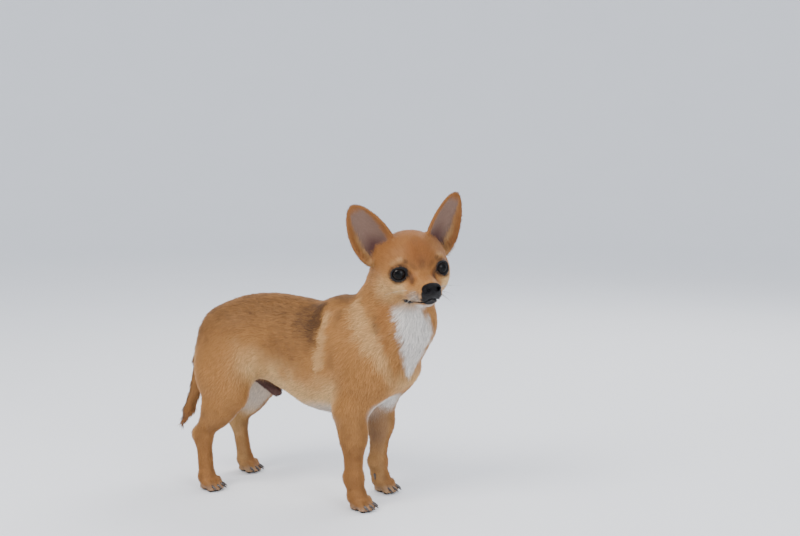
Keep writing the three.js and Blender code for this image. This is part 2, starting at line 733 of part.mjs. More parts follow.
const tailField = (x, y, z) => TAIL_PIECES.reduce((d, [piece, blend]) => blended(d, piece(x, y, z), blend), 99);
const tailGrid = [lines(-184, [-104, 4.4]), lines(-14, [18, 4]), lines(38, [216, 7])];
addNode("tail", largest(fieldSolid(tailField, ...tailGrid).subtract(bodyNear)), "tan", dog);

// Head, with a socket for each eye, and the lower jaw below the line of the mouth
const sphere = (side, radius) => {
  const ball = new THREE.SphereGeometry(radius, 18, 10);
  const centre = eyeCentre(side);
  ball.rotateZ(-Math.PI / 2 + degrees(side * GAZE));
  ball.translate(centre.x, centre.y, centre.z);
  return geometrySolid(ball);
};

function noseField(x, y, z) {
  const pad = egg(NOSE, [7.5, 10.2, 7.2])(x, y, z);
  const foot = egg(NOSE.clone().add(vec(-1.5, 0, -6)), [4.8, 5, 6.5])(x, y, z);
  let d = blended(pad, foot, 3);
  for (const side of [-1, 1]) {
    const nostril = limb(NOSE.clone().add(vec(8, side * 4, -0.5)), NOSE.clone().add(vec(1.5, side * 6.6, 0.8)), 2, 1.6);
    d = Math.max(d, -nostril(x, y, z));
  }
  return d;
}

const headFlesh = inHead(flesh);
const headGrid = [
  lines(-84, [-42, 6.6], [-14, 4.6], [8, 1.9], [36, 2.6]),
  lines(-54, [-33, 4.6], [-11, 1.9], [11, 2.7], [33, 1.9], [54, 4.6]),
  lines(-64, [-38, 5], [-11, 2.7], [12, 1.9], [56, 5]),
];
const noseGrid = [lines(NOSE.x - 14, [NOSE.x + 12, 1.8]), lines(-13, [13, 1.85]), lines(NOSE.z - 16, [NOSE.z + 11, 1.8])];
const headAll = fieldSolid(headFlesh, ...headGrid);
const noseSeat = fieldSolid((x, y, z) => headFlesh(x, y, z) - SEAT, ...noseGrid);
const nose = largest(fieldSolid(noseField, ...noseGrid).subtract(noseSeat));

const skullPlanes = [reversed(nudged(NAPE_CUT, GAP))];
const jawPlanes = [JAW_LINE, JAW_BACK, ...skullPlanes];
let head = headAll.intersect(region(skullPlanes)).subtract(region(jawPlanes, GAP));
for (const [word, side] of SIDES) {
  head = head.subtract(sphere(side, EYE_RADIUS + GAP));
  addNode(`eye_${word}`, sphere(side, EYE_RADIUS), "eye", headGroup);
}
addNode("head", largest(head), "tan", headGroup);
addNode("lower_jaw", largest(headAll.intersect(region(jawPlanes))), "cream", headGroup);
addNode("nose", nose, "leather", headGroup);

// An ear: a cupped leaf of skin whose two faces meet round a thin rim, rooted in the side of the skull.
function earSolid(side) {
  const across = 8;
  const along = 9;
  const root = vec(-28, side * 34, 14);
  const axis = vec(0.04, side * 0.42, 0.9).normalize();
  const front = vec(0.93, side * 0.34, -0.1);
  front.addScaledVector(axis, -front.dot(axis)).normalize();
  const out = axis.clone().cross(front).multiplyScalar(-side).normalize();
  const at = (u, v, back) => {
    const half = (EAR_WIDTH / 2) * earProfile(v);
    const cup = 13 * (1 - v) ** 1.4 + 4.5 * Math.sin(Math.PI * v);
    const lean = u > 0 ? 1.08 + 0.16 * (1 - v) : 0.92;
    const thick = 1.3 + 2 * (1 - v) * (1 - u * u);
    return root
      .clone()
      .addScaledVector(axis, EAR_LENGTH * v)
      .addScaledVector(out, half * u * lean + 2.5 * v * v)
      .addScaledVector(front, -cup * (1 - u * u) - (back ? thick : 0) + 2.5 * v * (1 - v));
  };
  const points = [];
  for (const back of [false, true]) {
    for (let i = 0; i <= across; i += 1) {
      for (let j = 0; j <= along; j += 1) {
        points.push(...at((2 * i) / across - 1, j / along, back).toArray());
      }
    }
  }
  const index = (layer, i, j) => (layer * (across + 1) + i) * (along + 1) + j;
  const faces = [];
  const quad = (a, b, c, d) => faces.push(a, b, c, a, c, d);
  for (let i = 0; i < across; i += 1) {
    for (let j = 0; j < along; j += 1) {
      quad(index(0, i, j), index(0, i + 1, j), index(0, i + 1, j + 1), index(0, i, j + 1));
      quad(index(1, i, j), index(1, i, j + 1), index(1, i + 1, j + 1), index(1, i + 1, j));
    }
    quad(index(0, i, 0), index(1, i, 0), index(1, i + 1, 0), index(0, i + 1, 0));
    quad(index(0, i, along), index(0, i + 1, along), index(1, i + 1, along), index(1, i, along));
  }
  for (let j = 0; j < along; j += 1) {
    quad(index(0, 0, j), index(0, 0, j + 1), index(1, 0, j + 1), index(1, 0, j));
    quad(index(0, across, j), index(1, across, j), index(1, across, j + 1), index(0, across, j + 1));
  }
  const made = solidFrom(points, faces);
  return made.volume() < 0 ? solidFrom(points, faces.reverse()) : made;
}

// Half the width of the ear from its root to its tip, as a share of the widest.
function earProfile(v) {
  return Math.max(Math.sin(Math.PI * (0.12 + 0.88 * v ** 0.85)), 0.01) ** 0.6;
}

const skullNear = fieldSolid((x, y, z) => headFlesh(x, y, z) - SEAT, ...headGrid);
for (const [word, side] of SIDES) {
  addNode(`ear_${word}`, largest(earSolid(side).subtract(skullNear)), "inner_ear", headGroup);
}

// The origin is on the floor, below the middle of the whole dog.
const extent = new THREE.Box3().setFromObject(dog, true);
const middle = extent.getCenter(vec(0, 0, 0));
dog.position.set(-middle.x, -middle.y, 0);

export default dog;
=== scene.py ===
"""A smooth-coated chihuahua, life size, standing with its head turned to its right.

The dog is worked out in millimetres, as a breeder measures one: +X is the way the body faces, +Y its left
side, +Z up from the floor. Flesh is a set of rounded forms that melt into each other. One skin is drawn over
them, and the short coat lies over the skin as fine tapered tufts.
"""

import logging
import math
from dataclasses import dataclass, field
from enum import Enum
from typing import Union

import bpy
import numpy as np
from mathutils import Matrix, Vector
from mathutils.bvhtree import BVHTree


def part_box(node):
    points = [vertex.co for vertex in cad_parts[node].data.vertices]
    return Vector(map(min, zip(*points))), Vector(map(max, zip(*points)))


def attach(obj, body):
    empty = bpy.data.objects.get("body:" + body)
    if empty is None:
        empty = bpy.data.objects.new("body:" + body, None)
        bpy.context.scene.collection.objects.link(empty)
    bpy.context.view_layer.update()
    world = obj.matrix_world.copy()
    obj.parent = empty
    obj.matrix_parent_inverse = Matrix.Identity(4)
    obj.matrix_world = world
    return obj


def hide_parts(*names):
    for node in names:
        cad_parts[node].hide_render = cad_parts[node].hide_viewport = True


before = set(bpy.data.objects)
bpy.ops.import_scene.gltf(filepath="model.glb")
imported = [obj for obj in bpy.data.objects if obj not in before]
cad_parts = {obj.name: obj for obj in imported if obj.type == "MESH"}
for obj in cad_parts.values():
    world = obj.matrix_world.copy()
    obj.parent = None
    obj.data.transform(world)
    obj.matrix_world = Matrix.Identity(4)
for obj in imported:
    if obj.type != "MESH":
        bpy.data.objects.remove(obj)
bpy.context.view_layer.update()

LOG = logging.getLogger("chihuahua")

Point = tuple[float, float, float]
Colour = tuple[float, float, float]
Array = np.ndarray

MM = 0.001
WITHERS_HEIGHT = 226.0
BODY_LENGTH = 258.0
CHEST_WIDTH = 84.0
FORE_TRACK = 72.0
HIND_TRACK = 84.0
HEAD_WIDTH = 78.0
EYE_SPACING = 44.5
EYE_RADIUS = 10.0
EYE_DEPTH = 6.0
MUZZLE_LENGTH = 29.0
EAR_LENGTH = 66.0
EAR_WIDTH = 39.0
PAW_WIDTH = 27.0
CLAW_LENGTH = 8.5
RUMP_X = -0.472 * BODY_LENGTH
SIDES = {"right": -1, "left": 1}
BOTH = (-1, 1)
TINY = 1e-9
EMPTY = 60.0
CELL_PRIMES = (73856093, 19349663, 83492791)
SEED_PRIME = 2654435
MIX_PRIME = 1274126177


def vec(x: float, y: float, z: float) -> Array:
    """Returns a point or direction as an array."""
    return np.array([x, y, z], float)


def unit(v: Array) -> Array:
    """Returns directions at length one.

    Args:
        v: One direction, or many in rows.

    Returns:
        The same directions, each of length one.
    """
    v = np.asarray(v, float)
    return v / np.maximum(np.linalg.norm(v, axis=-1, keepdims=True), TINY)


def ease(value: Array, low: float, high: float) -> Array:
    """Returns 0 at low and 1 at high, with a soft run between them."""
    t = np.clip((np.asarray(value, float) - low) / (high - low), 0.0, 1.0)
    return t * t * (3 - 2 * t)


def melt(a: Array, b: Array, blend: float) -> Array:
    """Joins two distances with a fillet.

    Args:
        a: Distance to the first form.
        b: Distance to the second form.
        blend: How wide the fillet is, in mm.

    Returns:
        The distance to both forms as one.
    """
    h = np.maximum(blend - np.abs(a - b), 0) / blend
    return np.minimum(a, b) - h * h * blend * 0.25


def grain(points: Array, size: float, seed: int) -> Array:
    """Smooth random values over space, for the uneven edges of markings.

    Args:
        points: Places in mm, one a row.
        size: How far apart the random values are, in mm.
        seed: Which pattern.

    Returns:
        A value from 0 to 1 for each point.
    """
    q = np.asarray(points, float) / size
    cell = np.floor(q).astype(np.int64)
    f = q - cell
    f = f * f * (3 - 2 * f)
    total = np.zeros(len(q))
    for corner in range(8):
        step = np.array([corner & 1, (corner >> 1) & 1, corner >> 2])
        key = (cell + step) @ np.array(CELL_PRIMES) + seed * SEED_PRIME
        key = (key ^ (key >> 13)) * MIX_PRIME & 0x7FFFFFFF
        share = np.prod(np.where(step, f, 1 - f), axis=1)
        total += share * ((key >> 8) & 0xFFFF) / 65535.0
    return total


@dataclass(frozen=True)
class Egg:
    """A rounded form of three half-sizes, in mm."""

    centre: Array
    radii: Point

    def distance(self, x: Array, y: Array, z: Array) -> Array:
        """Measures places against the form.

        Args:
            x: How far ahead each place is, in mm.
            y: How far to the left.
            z: How high.

        Returns:
            The distance to its surface, below zero inside it.
        """
        px, py, pz = [(v - c) / r for v, c, r in zip((x, y, z), self.centre, self.radii)]
        rx, ry, rz = self.radii
        near = np.sqrt(px * px + py * py + pz * pz)
        slope = np.sqrt((px / rx) ** 2 + (py / ry) ** 2 + (pz / rz) ** 2)
        return np.where(near < 1e-6, -min(self.radii), near * (near - 1) / np.maximum(slope, TINY))

    def reach(self) -> tuple[Array, Array]:
        """Returns the lowest and highest corner of the form's box."""
        return self.centre - np.array(self.radii), self.centre + np.array(self.radii)


@dataclass(frozen=True)
class Limb:
    """A form that tapers between two joints. A width over 1 makes it broader along y, in mm."""

    start: Array
    end: Array
    start_radius: float
    end_radius: float
    width: float = 1.0

    def distance(self, x: Array, y: Array, z: Array) -> Array:
        """Measures places against the form.

        Args:
            x: How far ahead each place is, in mm.
            y: How far to the left.
            z: How high.

        Returns:
            The distance to its surface, below zero inside it.
        """
        axis = (self.end - self.start) / np.array([1, self.width, 1])
        px, py, pz = x - self.start[0], (y - self.start[1]) / self.width, z - self.start[2]
        t = np.clip((px * axis[0] + py * axis[1] + pz * axis[2]) / (axis @ axis), 0, 1)
        off = np.sqrt((px - axis[0] * t) ** 2 + (py - axis[1] * t) ** 2 + (pz - axis[2] * t) ** 2)
        return (off - self.start_radius - (self.end_radius - self.start_radius) * t) * min(1.0, self.width)

    def reach(self) -> tuple[Array, Array]:
        """Returns the lowest and highest corner of the form's box."""
        r = max(self.start_radius, self.end_radius) * max(1.0, self.width)
        return np.minimum(self.start, self.end) - r, np.maximum(self.start, self.end) + r


@dataclass(frozen=True)
class Lid:
    """The rim and fold of an eye's lids: a band on the eyeball round an opening wider than it is tall."""

    centre: Array
    forward: Array
    radius: float
    wide: float = 51.0
    above: float = 40.0
    below: float = 44.0
    fold: float = 17.0
    tube: float = 1.3

    def polar(self, points: Array) -> tuple[Array, Array]:
        """Measures places from the opening's rim.

        Args:
            points: Places, with x, y and z on the last axis.

        Returns:
            How far each is from the eye's middle, and how far outside the rim it is in radians.
        """
        off = points - self.centre
        left = unit(np.cross(vec(0, 0, 1), self.forward))
        up = np.cross(self.forward, left)
        ahead, across, high = off @ self.forward, off @ left, off @ up
        far = np.maximum(np.linalg.norm(off, axis=-1), 1e-6)
        angle = np.arccos(np.clip(ahead / far, -1, 1))
        turn = np.arctan2(high, across)
        tall = np.where(high > 0, self.above, self.below)
        open_at = 1 / np.hypot(np.cos(turn) / self.wide, np.sin(turn) / tall)
        return far, angle - np.radians(open_at)

    def distance(self, x: Array, y: Array, z: Array) -> Array:
        """Measures places against the form.

        Args:
            x: How far ahead each place is, in mm.
            y: How far to the left.
            z: How high.

        Returns:
            The distance to its surface, below zero inside it.
        """
        far, past = self.polar(np.stack(np.broadcast_arrays(x, y, z), -1).astype(float))
        beside = np.maximum(np.maximum(-past, past - math.radians(self.fold)), 0) * far
        return np.hypot(far - self.radius, beside) - self.tube

    def reach(self) -> tuple[Array, Array]:
        """Returns the lowest and highest corner of the form's box."""
        r = self.radius + self.tube
        return self.centre - r, self.centre + r


@dataclass(frozen=True)
class Trunk:
    """The trunk: oval sections whose top line, underline and width run from rump to breast."""

    at: tuple = (0.0, 0.04, 0.1, 0.19, 0.31, 0.42, 0.53, 0.64, 0.74, 0.84, 0.92, 0.975, 1.0)
    top: tuple = (0.82, 0.89, 0.942, 0.99, 1.012, 1.01, 0.995, 0.98, 0.985, 0.96, 0.88, 0.79, 0.73)
    under: tuple = (0.74, 0.64, 0.58, 0.57, 0.565, 0.515, 0.452, 0.43, 0.438, 0.475, 0.54, 0.615, 0.67)
    width: tuple = (0.1, 0.6, 0.84, 0.95, 0.9, 0.92, 0.99, 1.02, 0.98, 0.9, 0.74, 0.44, 0.08)

    def line(self, values: tuple, where: Array) -> Array:
        """Returns a smooth run of values through the stations.

        Args:
            values: One value for each station.
            where: Places along the trunk, from 0 to 1.

        Returns:
            The value at each place.
        """
        at, v = np.array(self.at), np.array(values)
        slope = np.zeros(len(at))
        slope[1:-1] = (v[2:] - v[:-2]) / (at[2:] - at[:-2])
        slope[0] = (v[1] - v[0]) / (at[1] - at[0])
        slope[-1] = (v[-1] - v[-2]) / (at[-1] - at[-2])
        i = np.clip(np.searchsorted(at, where, side="left") - 1, 0, len(at) - 2)
        span = at[i + 1] - at[i]
        t = np.clip((where - at[i]) / span, 0, 1)
        hermite = (2 * t**3 - 3 * t**2 + 1) * v[i] + (t**3 - 2 * t**2 + t) * slope[i] * span
        return hermite + (3 * t**2 - 2 * t**3) * v[i + 1] + (t**3 - t**2) * slope[i + 1] * span

    def distance(self, x: Array, y: Array, z: Array) -> Array:
        """Measures places against the form.

        Args:
            x: How far ahead each place is, in mm.
            y: How far to the left.
            z: How high.

        Returns:
            The distance to its surface, below zero inside it.
        """
        at = (x - RUMP_X) / BODY_LENGTH
        beyond = np.maximum(np.maximum(-at, at - 1), 0) * BODY_LENGTH
        held = np.clip(at, 0, 1)
        top, under = self.line(self.top, held) * WITHERS_HEIGHT, self.line(self.under, held) * WITHERS_HEIGHT
        half = self.line(self.width, held) * CHEST_WIDTH / 2
        tall = (top - under) / 2
        py, pz = y / half, (z - (top + under) / 2) / tall
        near = np.sqrt(py * py + pz * pz)
        slope = np.sqrt((py / half) ** 2 + (pz / tall) ** 2)
        side = np.where(near < 1e-6, -np.minimum(half, tall), near * (near - 1) / np.maximum(slope, TINY))
        return np.where(beyond > 0, np.hypot(np.maximum(side, 0), beyond), side)

    def reach(self) -> tuple[Array, Array]:
        """Returns the lowest and highest corner of the form's box."""
        return vec(RUMP_X, -46, 90), vec(RUMP_X + BODY_LENGTH, 46, 236)


@dataclass(frozen=True)
class HeadCarriage:
    """Where the head is carried, and how it is turned from the body."""

    eye_line: Array = field(default_factory=lambda: vec(168, -34, 264))
    yaw: float = -45.0
    roll: float = 6.4
    pitch: float = 1.0

    @property
    def turn(self) -> Array:
        """Works out how the head is turned.

        Returns:
            The 3 by 3 turn from the head's frame to the body's.
        """
        turns = ((self.yaw, "Z"), (self.roll, "X"), (self.pitch, "Y"))
        yaw, roll, pitch = (Matrix.Rotation(math.radians(angle), 3, axis) for angle, axis in turns)
        return np.array(yaw @ roll @ pitch)

    def to_body(self, p: Array) -> Array:
        """Returns points of the head in the body's frame."""
        return np.asarray(p) @ self.turn.T + self.eye_line

    def to_head(self, p: Array) -> Array:
        """Returns points of the body in the head's frame: origin between the eyes, +X to the nose."""
        return (np.asarray(p) - self.eye_line) @ self.turn


HEAD = HeadCarriage()


@dataclass(frozen=True)
class Turned:
    """A form of the head, seen from the body's frame."""

    form: Union[Egg, Limb, Lid]

    def distance(self, x: Array, y: Array, z: Array) -> Array:
        """Measures places against the form.

        Args:
            x: How far ahead each place is, in mm.
            y: How far to the left.
            z: How high.

        Returns:
            The distance to its surface, below zero inside it.
        """
        px, py, pz = x - HEAD.eye_line[0], y - HEAD.eye_line[1], z - HEAD.eye_line[2]
        t = HEAD.turn
        return self.form.distance(*[t[0, i] * px + t[1, i] * py + t[2, i] * pz for i in range(3)])

    def reach(self) -> tuple[Array, Array]:
        """Finds the form's box, seen from the body's frame.

        Returns:
            Its lowest and highest corner.
        """
        low, high = self.form.reach()
        picks = [[(low, high)[(c >> i) & 1][i] for i in range(3)] for c in range(8)]
        corners = HEAD.to_body(np.array(picks))
        return corners.min(0), corners.max(0)


Form = Union[Egg, Limb, Lid, Trunk, Turned]
Forms = list[tuple[Form, float]]


@dataclass(frozen=True)
class Toe:
    """A toe: how far across the paw it is, how far it reaches, and how it turns out."""

    across: float
    reach: float
    turn: float


TOES = (Toe(-0.36, 8, -12), Toe(-0.13, 11.5, -4), Toe(0.13, 11.5, 4), Toe(0.36, 8, 12))
TOE_RADIUS = 0.185 * PAW_WIDTH


@dataclass
class Leg:
    """A leg: its joints for one side of the body, in mm."""

    side: int

    def joints(self) -> dict[str, Array]:
        """Works out the joints of the leg.

        Returns:
            The place of each, by name.
        """
        raise NotImplementedError

    def toe(self, toe: Toe) -> tuple[Array, Array, Array, Array]:
        """Works out where a toe is.

        Args:
            toe: Which toe.

        Returns:
            Its root, knuckle, tip and forward direction.
        """
        foot = self.joints()["toes"]
        root = foot + vec(0, toe.across * PAW_WIDTH * 0.75, 1)
        turn = math.radians(toe.turn)
        ahead = vec(math.cos(turn), math.sin(turn), 0)
        knuckle, tip = root + ahead * toe.reach * 0.5, root + ahead * toe.reach
        knuckle[2], tip[2] = 9.6, 3.9
        return root, knuckle, tip, ahead

    def paw(self) -> Forms:
        """Shapes the paw: four toes and the pad.

        Returns:
            Each form with its fillet, in mm.
        """
        forms: Forms = []
        for toe in TOES:
            root, knuckle, tip, _ = self.toe(toe)
            forms.append((Limb(root, knuckle, TOE_RADIUS * 1.05, TOE_RADIUS), 2.2))
            forms.append((Limb(knuckle, tip, TOE_RADIUS, TOE_RADIUS * 0.86), 1.4))
        forms.append((Egg(self.joints()["toes"] + vec(-3, 0, -4.2), (8.5, 9, 5.5)), 2.5))
        return forms


@dataclass
class Foreleg(Leg):
    """A foreleg from the shoulder blade to the toes."""

    def joints(self) -> dict[str, Array]:
        """Works out the joints of the leg.

        Returns:
            The place of each, by name.
        """
        s, y, w = self.side, self.side * FORE_TRACK / 2, WITHERS_HEIGHT
        back = -6 if s > 0 else 0
        return {
            "blade": vec(58, s * 14, 0.93 * w),
            "shoulder": vec(106 - back / 2, s * 27, 0.65 * w),
            "elbow": vec(84 - back / 3, s * 34, 0.47 * w),
            "forearm": vec(89 + back / 3, y, 0.36 * w),
            "wrist": vec(89 + back, y, 0.155 * w),
            "pastern": vec(93 + back, y, 15),
            "toes": vec(97 + back, y, 9),
        }

    def forms(self) -> Forms:
        """Shapes the leg.

        Returns:
            Each form with its fillet, in mm.
        """
        j = self.joints()
        point = j["elbow"] + vec(-11, 0, 5)
        thumb = j["wrist"] + vec(-2, -self.side * 7, -12)
        return [
            (Limb(j["blade"], j["shoulder"], 16, 23), 22),
            (Limb(j["shoulder"], j["elbow"], 21, 16, 0.85), 18),
            (Limb(j["elbow"], j["forearm"], 16, 13.2, 0.82), 14),
            (Limb(point, j["elbow"], 5, 9), 6),
            (Limb(j["forearm"], j["wrist"], 13.2, 9.6, 0.88), 12),
            (Egg(j["wrist"], (10.4, 9.6, 9)), 6),
            (Limb(j["wrist"], j["pastern"], 9.6, 9.8, 1.02), 6),
            (Limb(j["pastern"], j["toes"], 9.8, 8.6, 1.12), 5),
            (Egg(thumb, (4, 3, 4.6)), 3),
            *self.paw(),
        ]

    def thumb_claw(self) -> tuple[Array, Array]:
        """Returns root and direction of the dewclaw."""
        root = self.joints()["wrist"] + vec(1, -self.side * 10, -13)
        return root, unit(vec(0.45, -self.side * 0.5, -0.74))


@dataclass
class Hindleg(Leg):
    """A hind leg from the hip to the toes."""

    def joints(self) -> dict[str, Array]:
        """Works out the joints of the leg.

        Returns:
            The place of each, by name.
        """
        s, y, w = self.side, self.side * HIND_TRACK / 2, WITHERS_HEIGHT
        back = -7 if s > 0 else 0
        return {
            "hip": vec(-90, s * 20, 0.78 * w),
            "buttock": vec(-106, s * 19, 0.69 * w),
            "thigh": vec(-83 + back / 2, s * 31, 0.6 * w),
            "knee": vec(-67 + back, s * 38, 0.5 * w),
            "calf": vec(-86 + back, s * 40, 0.42 * w),
            "hock": vec(-105 + back, y, 0.28 * w),
            "heel": vec(-111 + back, y, 0.29 * w),
            "pastern": vec(-101 + back / 3, y, 15),
            "toes": vec(-97 + back / 3, y, 9),
        }

    def forms(self) -> Forms:
        """Shapes the leg.

        Returns:
            Each form with its fillet, in mm.
        """
        j = self.joints()
        return [
            (Limb(j["hip"], j["thigh"], 29, 26, 0.8), 24),
            (Limb(j["buttock"], j["thigh"], 19, 22, 0.9), 18),
            (Limb(j["thigh"], j["knee"], 26, 16, 0.72), 18),
            (Limb(j["thigh"], j["calf"], 22, 14.5, 0.72), 16),
            (Limb(j["knee"], j["calf"], 14.5, 14, 0.82), 10),
            (Limb(j["calf"], j["hock"], 14.2, 9.2, 0.78), 12),
            (Limb(j["calf"], j["heel"], 7, 6, 0.7), 7),
            (Limb(j["heel"], j["hock"], 6.3, 8.4, 0.9), 6),
            (Limb(j["hock"], j["pastern"], 9.2, 9, 0.92), 8),
            (Limb(j["pastern"], j["toes"], 9.2, 8.4, 1.12), 5),
            *self.paw(),
        ]


class Part(Enum):
    """The parts of the body that the coat tells apart."""

    TRUNK = 0
    FORE_RIGHT = 1
    HIND_RIGHT = 2
    FORE_LEFT = 3
    HIND_LEFT = 4
    NECK = 5
    TAIL = 6
    HEAD = 7
    EAR_RIGHT = 8
    EAR_LEFT = 9
    SHEATH = 10


EARS = {Part.EAR_RIGHT: -1, Part.EAR_LEFT: 1}
HAIR_LENGTHS = {Part.TRUNK: 6.6, Part.NECK: 7.6, Part.TAIL: 9.0, Part.SHEATH: 3.4}
LEG_HAIR = ((0, 12, 30, 70, 115, 150), (2.4, 3.0, 3.6, 4.4, 5.6, 6.6))
PART_FADE = 4.5
EAR_FADE = 0.8
EAR_WEIGHT = 40


@dataclass
class Ear:
    """An ear: a cupped leaf of skin, rooted in the side of the skull."""

    side: int
    across: int = 26
    along: int = 34

    def axes(self) -> tuple[Array, Array, Array]:
        """Works out how the ear stands, in the head's frame.

        Returns:
            Its long axis, the way its cup faces, and the way to its outer edge.
        """
        axis = unit(vec(0.04, self.side * 0.42, 0.9))
        front = vec(0.93, self.side * 0.34, -0.1)
        front = unit(front - axis * (front @ axis))
        return axis, front, unit(np.cross(axis, front)) * -self.side

    def leaf(self, u: Array, v: Array) -> Array:
        """Returns the middle surface of the ear in the head's frame.

        Args:
            u: Across the ear, from -1 at the inner edge to 1 at the outer.
            v: Along the ear, from 0 at the root to 1 at the tip.

        Returns:
            The points, in rows.
        """
        axis, front, out = self.axes()
        half = EAR_WIDTH / 2 * np.maximum(np.sin(np.pi * (0.12 + 0.88 * v**0.85)), 0.01) ** 0.48
        cup = 13 * (1 - v) ** 1.4 + 4.5 * np.sin(np.pi * v)
        lean = np.where(u > 0, 1.08 + 0.16 * (1 - v) + 0.22 * (1 - v) ** 4, 0.92)
        thick = 1.3 + 2 * (1 - v) * (1 - u * u)
        root = vec(-28, self.side * 34, 14)
        place = root + np.outer(EAR_LENGTH * v, axis) + np.outer(half * u * lean + 2.5 * v * v, out)
        return place + np.outer(-cup * (1 - u * u) - thick / 2 + 2.5 * v * (1 - v), front)

    def sheet(self) -> tuple[Array, Array]:
        """Draws the ear's middle surface.

        Returns:
            Its points, in the head's frame, and its faces.
        """
        step = self.along + 1
        u, v = np.meshgrid(np.linspace(-1, 1, self.across + 1), np.linspace(0, 1, step), indexing="ij")
        i, j = np.meshgrid(np.arange(self.across), np.arange(self.along), indexing="ij")
        first = (i * step + j).ravel()
        faces = np.stack([first, first + step, first + step + 1, first + 1], 1)
        return self.leaf(u.ravel(), v.ravel()), faces

    def nearest(self, points: Array, reach: float) -> tuple[Array, Array, Array]:
        """Finds the nearest place of the leaf to each point of the head.

        Args:
            points: Points in the head's frame, in rows.
            reach: How far to look, in mm.

        Returns:
            Distance to the leaf, and the u and v of the place. Far points get the reach and 0.
        """
        places, faces = self.sheet()
        tree = BVHTree.FromPolygons([tuple(p) for p in places], [tuple(f) for f in faces.tolist()])
        found = np.full((len(points), 3), [reach, 0.0, 0.0])
        low, high = places.min(0) - reach, places.max(0) + reach
        for n in np.nonzero(((points > low) & (points < high)).all(1))[0]:
            _, _, face, off = tree.find_nearest(points[n], reach)
            if face is not None:
                i, j = divmod(face, self.along)
                found[n] = off, 2 * (i + 0.5) / self.across - 1, (j + 0.5) / self.along
        return found[:, 0], found[:, 1], found[:, 2]

    def distance(self, points: Array) -> Array:
        """Returns the distance from points of the head to the ear's skin."""
        off, _, v = self.nearest(points, 7.0)
        return off - (0.95 + 0.9 * (1 - v) ** 2)


def gaze(side: int) -> Array:
    """Returns the way an eye looks, in the head's frame."""
    return unit(vec(math.cos(math.radians(18)), side * math.sin(math.radians(18)), 0.03))


def eye_centre(side: int) -> Array:
    """Returns the middle of an eye in the head's frame."""
    return vec(-EYE_DEPTH, side * EYE_SPACING / 2, 0.8)


NOSE = vec(MUZZLE_LENGTH - 3, 0, -15.5)
LID_OPEN = math.radians(55)
LID_LIFT = 0.4
LID_BLEND = 1.8
HEAD_BLEND = 15.0
MELT_REACH = 40
EAR_BLEND = 3.5
REAR, SHOULDER, FRONT = -186, 92, 202
RIGHT, LEFT = -70, 64
GROUND, WRIST, BACK, TOP = -3, 26, 200, 352
OUTLOOK = {"reach": 22, "near": 8.3, "far": 12.5, "blend": 3.0}
MOUTH = {"half_height": 0.75, "depth": 1.7, "back": 3.0}
TUFT_POINTS = 7
TUFT_PATCH = 0.003
TUFT_MAP = ((0.2, 0), (0.5, 0), (0.8, 0), (0.2, 0.5), (0.5, 0.5), (0.8, 0.5), (0.5, 1))
CLAW_CURVE = 0.42
CLAW_TAPER = 0.72
CLAW_FLATNESS = 0.7
DEWCLAW_LENGTH = 6.5


